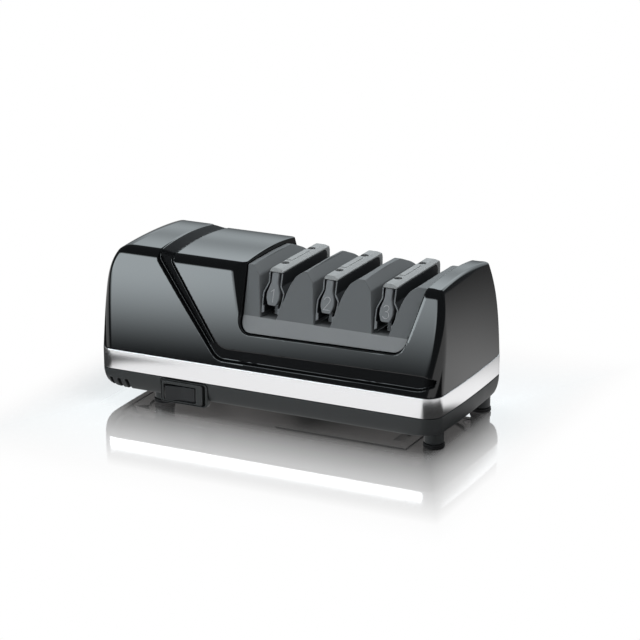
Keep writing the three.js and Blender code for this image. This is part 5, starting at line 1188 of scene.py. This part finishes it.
class Graph:
    """A short way to write a node tree's sums and ramps."""

    def __init__(self, tree):
        self.nodes, self.links = tree.nodes, tree.links
        self.nodes.clear()

    def add(self, kind):
        return self.nodes.new(kind)

    def put(self, socket, value):
        if isinstance(value, (int, float)):
            socket.default_value = value
        else:
            self.links.new(value, socket)

    def math(self, operation, a, b=0.0):
        node = self.add("ShaderNodeMath")
        node.operation = operation
        self.put(node.inputs[0], a)
        self.put(node.inputs[1], b)
        return node.outputs[0]

    def ramp(self, value, low, high, start=0.0, end=1.0):
        node = self.add("ShaderNodeMapRange")
        node.interpolation_type = "SMOOTHSTEP"
        for name, number in (("From Min", low), ("From Max", high), ("To Min", start), ("To Max", end)):
            node.inputs[name].default_value = number
        self.put(node.inputs["Value"], value)
        return node.outputs["Result"]

    def hill(self, value, low, high, soft):
        """One between two values, and a soft fall to nothing outside them."""
        fall = self.ramp(value, high, high + soft, 1, 0)
        return self.math("MULTIPLY", self.ramp(value, low - soft, low), fall)

    def turn(self, azimuth, middle):
        """The shortest turn from a direction, in degrees."""
        turn = self.math("MODULO", self.math("SUBTRACT", azimuth, middle - 540), 360)
        return self.math("ABSOLUTE", self.math("SUBTRACT", turn, 180))

    def blend(self, share, first, second):
        node = self.add("ShaderNodeMixShader")
        self.put(node.inputs[0], share)
        self.links.new(first.outputs[0], node.inputs[1])
        self.links.new(second.outputs[0], node.inputs[2])
        return node

    def where(self, kind):
        """The parts of a place or a direction."""
        node, split = self.add("ShaderNodeTexCoord"), self.add("ShaderNodeSeparateXYZ")
        self.links.new(node.outputs[kind], split.inputs[0])
        return split.outputs["X"], split.outputs["Y"], split.outputs["Z"]

    def azimuth(self, x, y):
        return self.math("DEGREES", self.math("ARCTAN2", x, self.math("MULTIPLY", y, -1)))


# Degrees: azimuth is 0 in front and grows to the right; rise is where a panel starts, is full, fades and ends
FRONT_PANEL = dict(azimuth=-30, half=30, soft=8, rise=(3, 10.8, 12.3, 28), strength=8.2)
REAR_PANELS = [
    dict(azimuth=188, half=24, soft=12, rise=(-3, 14, 38, 46), strength=1.02),
    dict(azimuth=188, half=24, soft=12, rise=(18, 36, 38, 46), strength=2.1),
]
AMBIENT = 0.12
# The front panel's lower edge climbs towards the right, up to a limit, and its light falls there
CLIMB_FROM = -31.5
CLIMB_SLOPE = 0.24
CLIMB_MOST = 2
DIM_FROM, DIM_TO, DIM_LEVEL = -30, -22, 0.62
# Metres on the floor: dark flags beside the object, as polished surfaces see them
FLAGS = [
    ((0.120, 0.330), (-0.300, 0.010), 0.030),
    ((-0.400, -0.160), (-0.200, 0.100), 0.030),
]
FLAG_DEPTH = 0.96
# Metres along X and Y: where the floor's mirror starts to fade, and the length that fading is counted in
FOOTPRINT = ((0.116, 0.444), (0.052, 0.896))
MIRROR_SHARE = 0.8
MIRROR_FADE = 6.8
WHITE_FROM, WHITE_TO = 0.02, 0.16


def panel_light(graph, panel, azimuth, elevation, lower):
    """One panel's light; its lower edge follows an elevation of its own."""
    half, (low, full, fade, high) = panel["half"], panel["rise"]
    across = graph.ramp(graph.turn(azimuth, panel["azimuth"]), half, half + panel["soft"], 1, 0)
    up = graph.math("MULTIPLY", graph.ramp(lower, low, full), graph.ramp(elevation, fade, high, 1, 0))
    return graph.math("MULTIPLY", graph.math("MULTIPLY", across, up), panel["strength"])


def studio_sky():
    """White to the camera, plain to matt surfaces and soft panels to polished ones."""
    world = bpy.data.worlds.new("studio_sky")
    bpy.context.scene.world = world
    world.use_nodes = True
    graph = Graph(world.node_tree)
    x, y, z = graph.where("Generated")
    azimuth, elevation = graph.azimuth(x, y), graph.math("DEGREES", graph.math("ARCSINE", z))
    climb = graph.math("MULTIPLY", graph.math("SUBTRACT", azimuth, CLIMB_FROM), CLIMB_SLOPE)
    climb = graph.math("MINIMUM", graph.math("MAXIMUM", climb, 0), CLIMB_MOST)
    front = panel_light(graph, FRONT_PANEL, azimuth, elevation, graph.math("SUBTRACT", elevation, climb))
    front = graph.math("MULTIPLY", front, graph.ramp(azimuth, DIM_FROM, DIM_TO, 1, DIM_LEVEL))
    total = graph.math("ADD", front, AMBIENT)
    for panel in REAR_PANELS:
        total = graph.math("ADD", total, panel_light(graph, panel, azimuth, elevation, elevation))
    rays = graph.add("ShaderNodeLightPath")
    level = bpy.context.scene.sharpener_studio.sky_level
    plain = graph.math("ADD", graph.math("MULTIPLY", rays.outputs["Is Camera Ray"], 1 - level), level)
    plain = graph.math("MAXIMUM", plain, rays.outputs["Is Transmission Ray"])
    white, panels = graph.add("ShaderNodeBackground"), graph.add("ShaderNodeBackground")
    white.inputs["Color"].default_value = (1, 1, 1, 1)
    panels.inputs["Color"].default_value = (0.87, 0.96, 1, 1)
    graph.put(white.inputs["Strength"], plain)
    graph.put(panels.inputs["Strength"], total)
    out = graph.add("ShaderNodeOutputWorld")
    graph.links.new(graph.blend(rays.outputs["Is Glossy Ray"], white, panels).outputs[0], out.inputs[0])


def floor_material():
    """A pale floor with a soft mirror near the object."""
    made = bpy.data.materials.new("studio_floor")
    made.use_nodes = True
    graph = Graph(made.node_tree)
    x, y, _ = graph.where("Object")
    past = []
    for along, (edge, step) in zip((x, y), FOOTPRINT):
        beyond = graph.math("SUBTRACT", graph.math("ABSOLUTE", along), edge)
        past.append(graph.math("DIVIDE", graph.math("MAXIMUM", beyond, 0), step))
    away = graph.math("MAXIMUM", *past)
    matt = graph.add("ShaderNodeBsdfDiffuse")
    white, card = graph.add("ShaderNodeEmission"), graph.add("ShaderNodeEmission")
    matt.inputs["Color"].default_value = (0.9, 0.9, 0.9, 1)
    ground = graph.blend(graph.ramp(away, WHITE_FROM, WHITE_TO), matt, white)
    mirror = graph.add("ShaderNodeBsdfGlossy")
    mirror.inputs["Roughness"].default_value = 0.04
    mirror.inputs["Color"].default_value = (1, 0.95, 0.93, 1)
    share = graph.math("SUBTRACT", MIRROR_SHARE, graph.math("MULTIPLY", away, MIRROR_FADE))
    share = graph.math("MAXIMUM", share, 0)
    seen = graph.blend(share, ground, mirror)
    bright = graph.ramp(graph.turn(graph.azimuth(x, y), 180), 20, 65, 0.12, 1)
    for (low_x, high_x), (low_y, high_y), soft in FLAGS:
        flag = graph.math("MULTIPLY", graph.hill(x, low_x, high_x, soft), graph.hill(y, low_y, high_y, soft))
        left = graph.math("SUBTRACT", 1, graph.math("MULTIPLY", flag, FLAG_DEPTH))
        bright = graph.math("MULTIPLY", bright, left)
    graph.put(card.inputs["Strength"], bright)
    rays = graph.add("ShaderNodeLightPath")
    others = graph.blend(rays.outputs["Is Glossy Ray"], matt, card)
    final = graph.blend(rays.outputs["Is Camera Ray"], others, seen)
    out = graph.add("ShaderNodeOutputMaterial")
    graph.links.new(final.outputs[0], out.inputs[0])
    return made


FLOOR_HALF = 3.0
LAMPS = [
    ("overhead_lamp", (0.2, 0.1, 1.5), 16, 1.2),
    ("left_lamp", (-0.9, -1.1, 1.0), 3, 0.9),
]


class SHARPENER_OT_studio(bpy.types.Operator):
    """Sets the camera, the pale floor and plain soft light"""
    bl_idname = "sharpener.studio"
    bl_label = "Studio"

    def execute(self, context):
        scene, studio = context.scene, context.scene.sharpener_studio
        scene.view_settings.view_transform = "Standard"
        camera = bpy.data.objects.new("camera", bpy.data.cameras.new("camera"))
        scene.collection.objects.link(camera)
        camera.data.sensor_width = 36
        camera.data.lens = studio.lens
        camera.data.clip_end = 20
        turn, rise = studio.azimuth, studio.elevation
        back = Vector((math.sin(turn) * math.cos(rise), -math.cos(turn) * math.cos(rise), math.sin(rise)))
        camera.location = Vector(studio.target) + back * studio.distance
        camera.rotation_euler = back.to_track_quat("Z", "Y").to_euler()
        scene.camera = camera
        studio_sky()
        corners = [(i * FLOOR_HALF, j * FLOOR_HALF, 0) for i, j in ((-1, -1), (1, -1), (1, 1), (-1, 1))]
        mesh = bpy.data.meshes.new("floor")
        mesh.from_pydata(corners, [], [(0, 1, 2, 3)])
        floor = place("floor", mesh)
        mesh.materials.append(floor_material())
        for name, spot, power, width in LAMPS:
            lamp = bpy.data.lights.new(name, "AREA")
            lamp.energy = power
            lamp.size = width
            stand = bpy.data.objects.new(name, lamp)
            scene.collection.objects.link(stand)
            stand.location = spot
            stand.rotation_euler = (Vector(spot) - Vector((0, 0, 0.05))).to_track_quat("Z", "Y").to_euler()
            stand.visible_glossy = False
        return {"FINISHED"}


def colour(name, description, value):
    return FloatVectorProperty(
        name=name, description=description, default=value, subtype="COLOR", min=0, max=1)


def length(name, description, value):
    return FloatProperty(name=name, description=description, default=value, unit="LENGTH", min=0, precision=5)


class SharpenerFinishes(bpy.types.PropertyGroup):
    gloss_black: colour("Gloss black", "Plastic of the upper housing", (0.0025, 0.0028, 0.0032))
    channel_black: colour("Channel black", "Matt floor of the groove", (0.003, 0.0033, 0.0038))
    satin_black: colour("Satin black", "Textured plastic of the base", (0.03, 0.033, 0.034))
    silver_band: colour("Silver band", "Satin metal of the band", (0.84, 0.84, 0.85))
    module_grey: colour("Module grey", "Textured plastic of the guide module", (0.12, 0.13, 0.136))
    # painted light: the module's own grey, lighter on the ledge
    ledge_grey: colour("Ledge grey", "The module's ledge", (0.225, 0.24, 0.25))
    guide_grey: colour("Guide grey", "Plastic of the rails", (0.265, 0.28, 0.285))
    tower_grey: colour("Tower grey", "Plastic of the towers and leaf edges", (0.165, 0.178, 0.188))
    # painted shade: the spring leaves' sides, darker than their own grey plastic
    leaf_black: colour("Leaf black", "Sides of the spring leaves", (0.016, 0.018, 0.02))
    numeral_grey: colour("Numeral grey", "Figures on the towers", (0.4, 0.42, 0.43))
    rocker_black: colour("Rocker black", "Cap of the switch", (0.014, 0.0155, 0.017))
    rubber: colour("Rubber", "Foot pads and seals", (0.01, 0.01, 0.011))
    steel: colour("Steel", "Screws, shaft and motor plates", (0.55, 0.55, 0.56))
    dark_steel: colour("Dark steel", "Blackened screws on the rails", (0.06, 0.06, 0.065))
    copper: colour("Copper", "Enamelled winding", (0.55, 0.22, 0.1))
    abrasive: colour("Abrasive", "Grit on the grinding discs", (0.3, 0.28, 0.24))


class SharpenerSizes(bpy.types.PropertyGroup):
    lip_radius: length("Lip radius", "Rounding of the groove's and the opening's lips", 0.0006)
    shoulder_radius: length("Shoulder radius", "Rounding between the front and the top", 0.0046)
    groove_depth: length("Groove depth", "Depth of the groove in the front", 0.0026)
    band_edge: length("Band edge", "Rounding of the band's edges", 0.00035)
    leaf_thickness: length("Leaf thickness", "Thickness of the spring leaves", 0.0009)
    numeral_height: length("Numeral height", "Height of the figures on the towers", 0.008)
    numeral_stroke: length("Numeral stroke", "Line width of the figures", 0.00042)


class SharpenerStudio(bpy.types.PropertyGroup):
    azimuth: FloatProperty(name="Azimuth", description="Camera's turn round the object",
                           default=math.radians(26.38), subtype="ANGLE")
    elevation: FloatProperty(name="Elevation", description="Camera's height angle",
                             default=math.radians(17.41), subtype="ANGLE")
    distance: FloatProperty(name="Distance", description="Camera to the point it looks at",
                            default=1.5735, unit="LENGTH")
    lens: FloatProperty(name="Lens", description="Focal length in millimetres", default=134.97)
    target: FloatVectorProperty(name="Target", description="Point that the camera looks at",
                                default=(0.01443, 0, 0.05951), subtype="XYZ", unit="LENGTH")
    sky_level: FloatProperty(name="Sky level", description="Strength of the plain sky light",
                             default=0.38, min=0)


class SHARPENER_PT_panel(bpy.types.Panel):
    bl_label = "Knife sharpener"
    bl_space_type = "VIEW_3D"
    bl_region_type = "UI"
    bl_category = "Sharpener"

    def draw(self, context):
        for step in STEPS:
            self.layout.operator(step.bl_idname)


STEPS = (
    SHARPENER_OT_studio,
    SHARPENER_OT_carried_pieces,
    SHARPENER_OT_upper_housing,
    SHARPENER_OT_trim_band,
    SHARPENER_OT_base_pan,
    SHARPENER_OT_guide_module,
    SHARPENER_OT_blade_guides,
    SHARPENER_OT_feet,
    SHARPENER_OT_switch,
    SHARPENER_OT_grinding_discs,
    SHARPENER_OT_lever_and_inlet,
)
GROUPS = {
    "sharpener_finishes": SharpenerFinishes,
    "sharpener_sizes": SharpenerSizes,
    "sharpener_studio": SharpenerStudio,
}
CLASSES = (*GROUPS.values(), *STEPS, SHARPENER_PT_panel)


def register():
    for item in CLASSES:
        bpy.utils.register_class(item)
    for name, group in GROUPS.items():
        setattr(bpy.types.Scene, name, PointerProperty(type=group))


def unregister():
    for name in GROUPS:
        delattr(bpy.types.Scene, name)
    for item in reversed(CLASSES):
        bpy.utils.unregister_class(item)


def main():
    register()
    for step in STEPS:
        group, name = step.bl_idname.split(".")
        getattr(getattr(bpy.ops, group), name)()


if __name__ == "__main__":
    main()
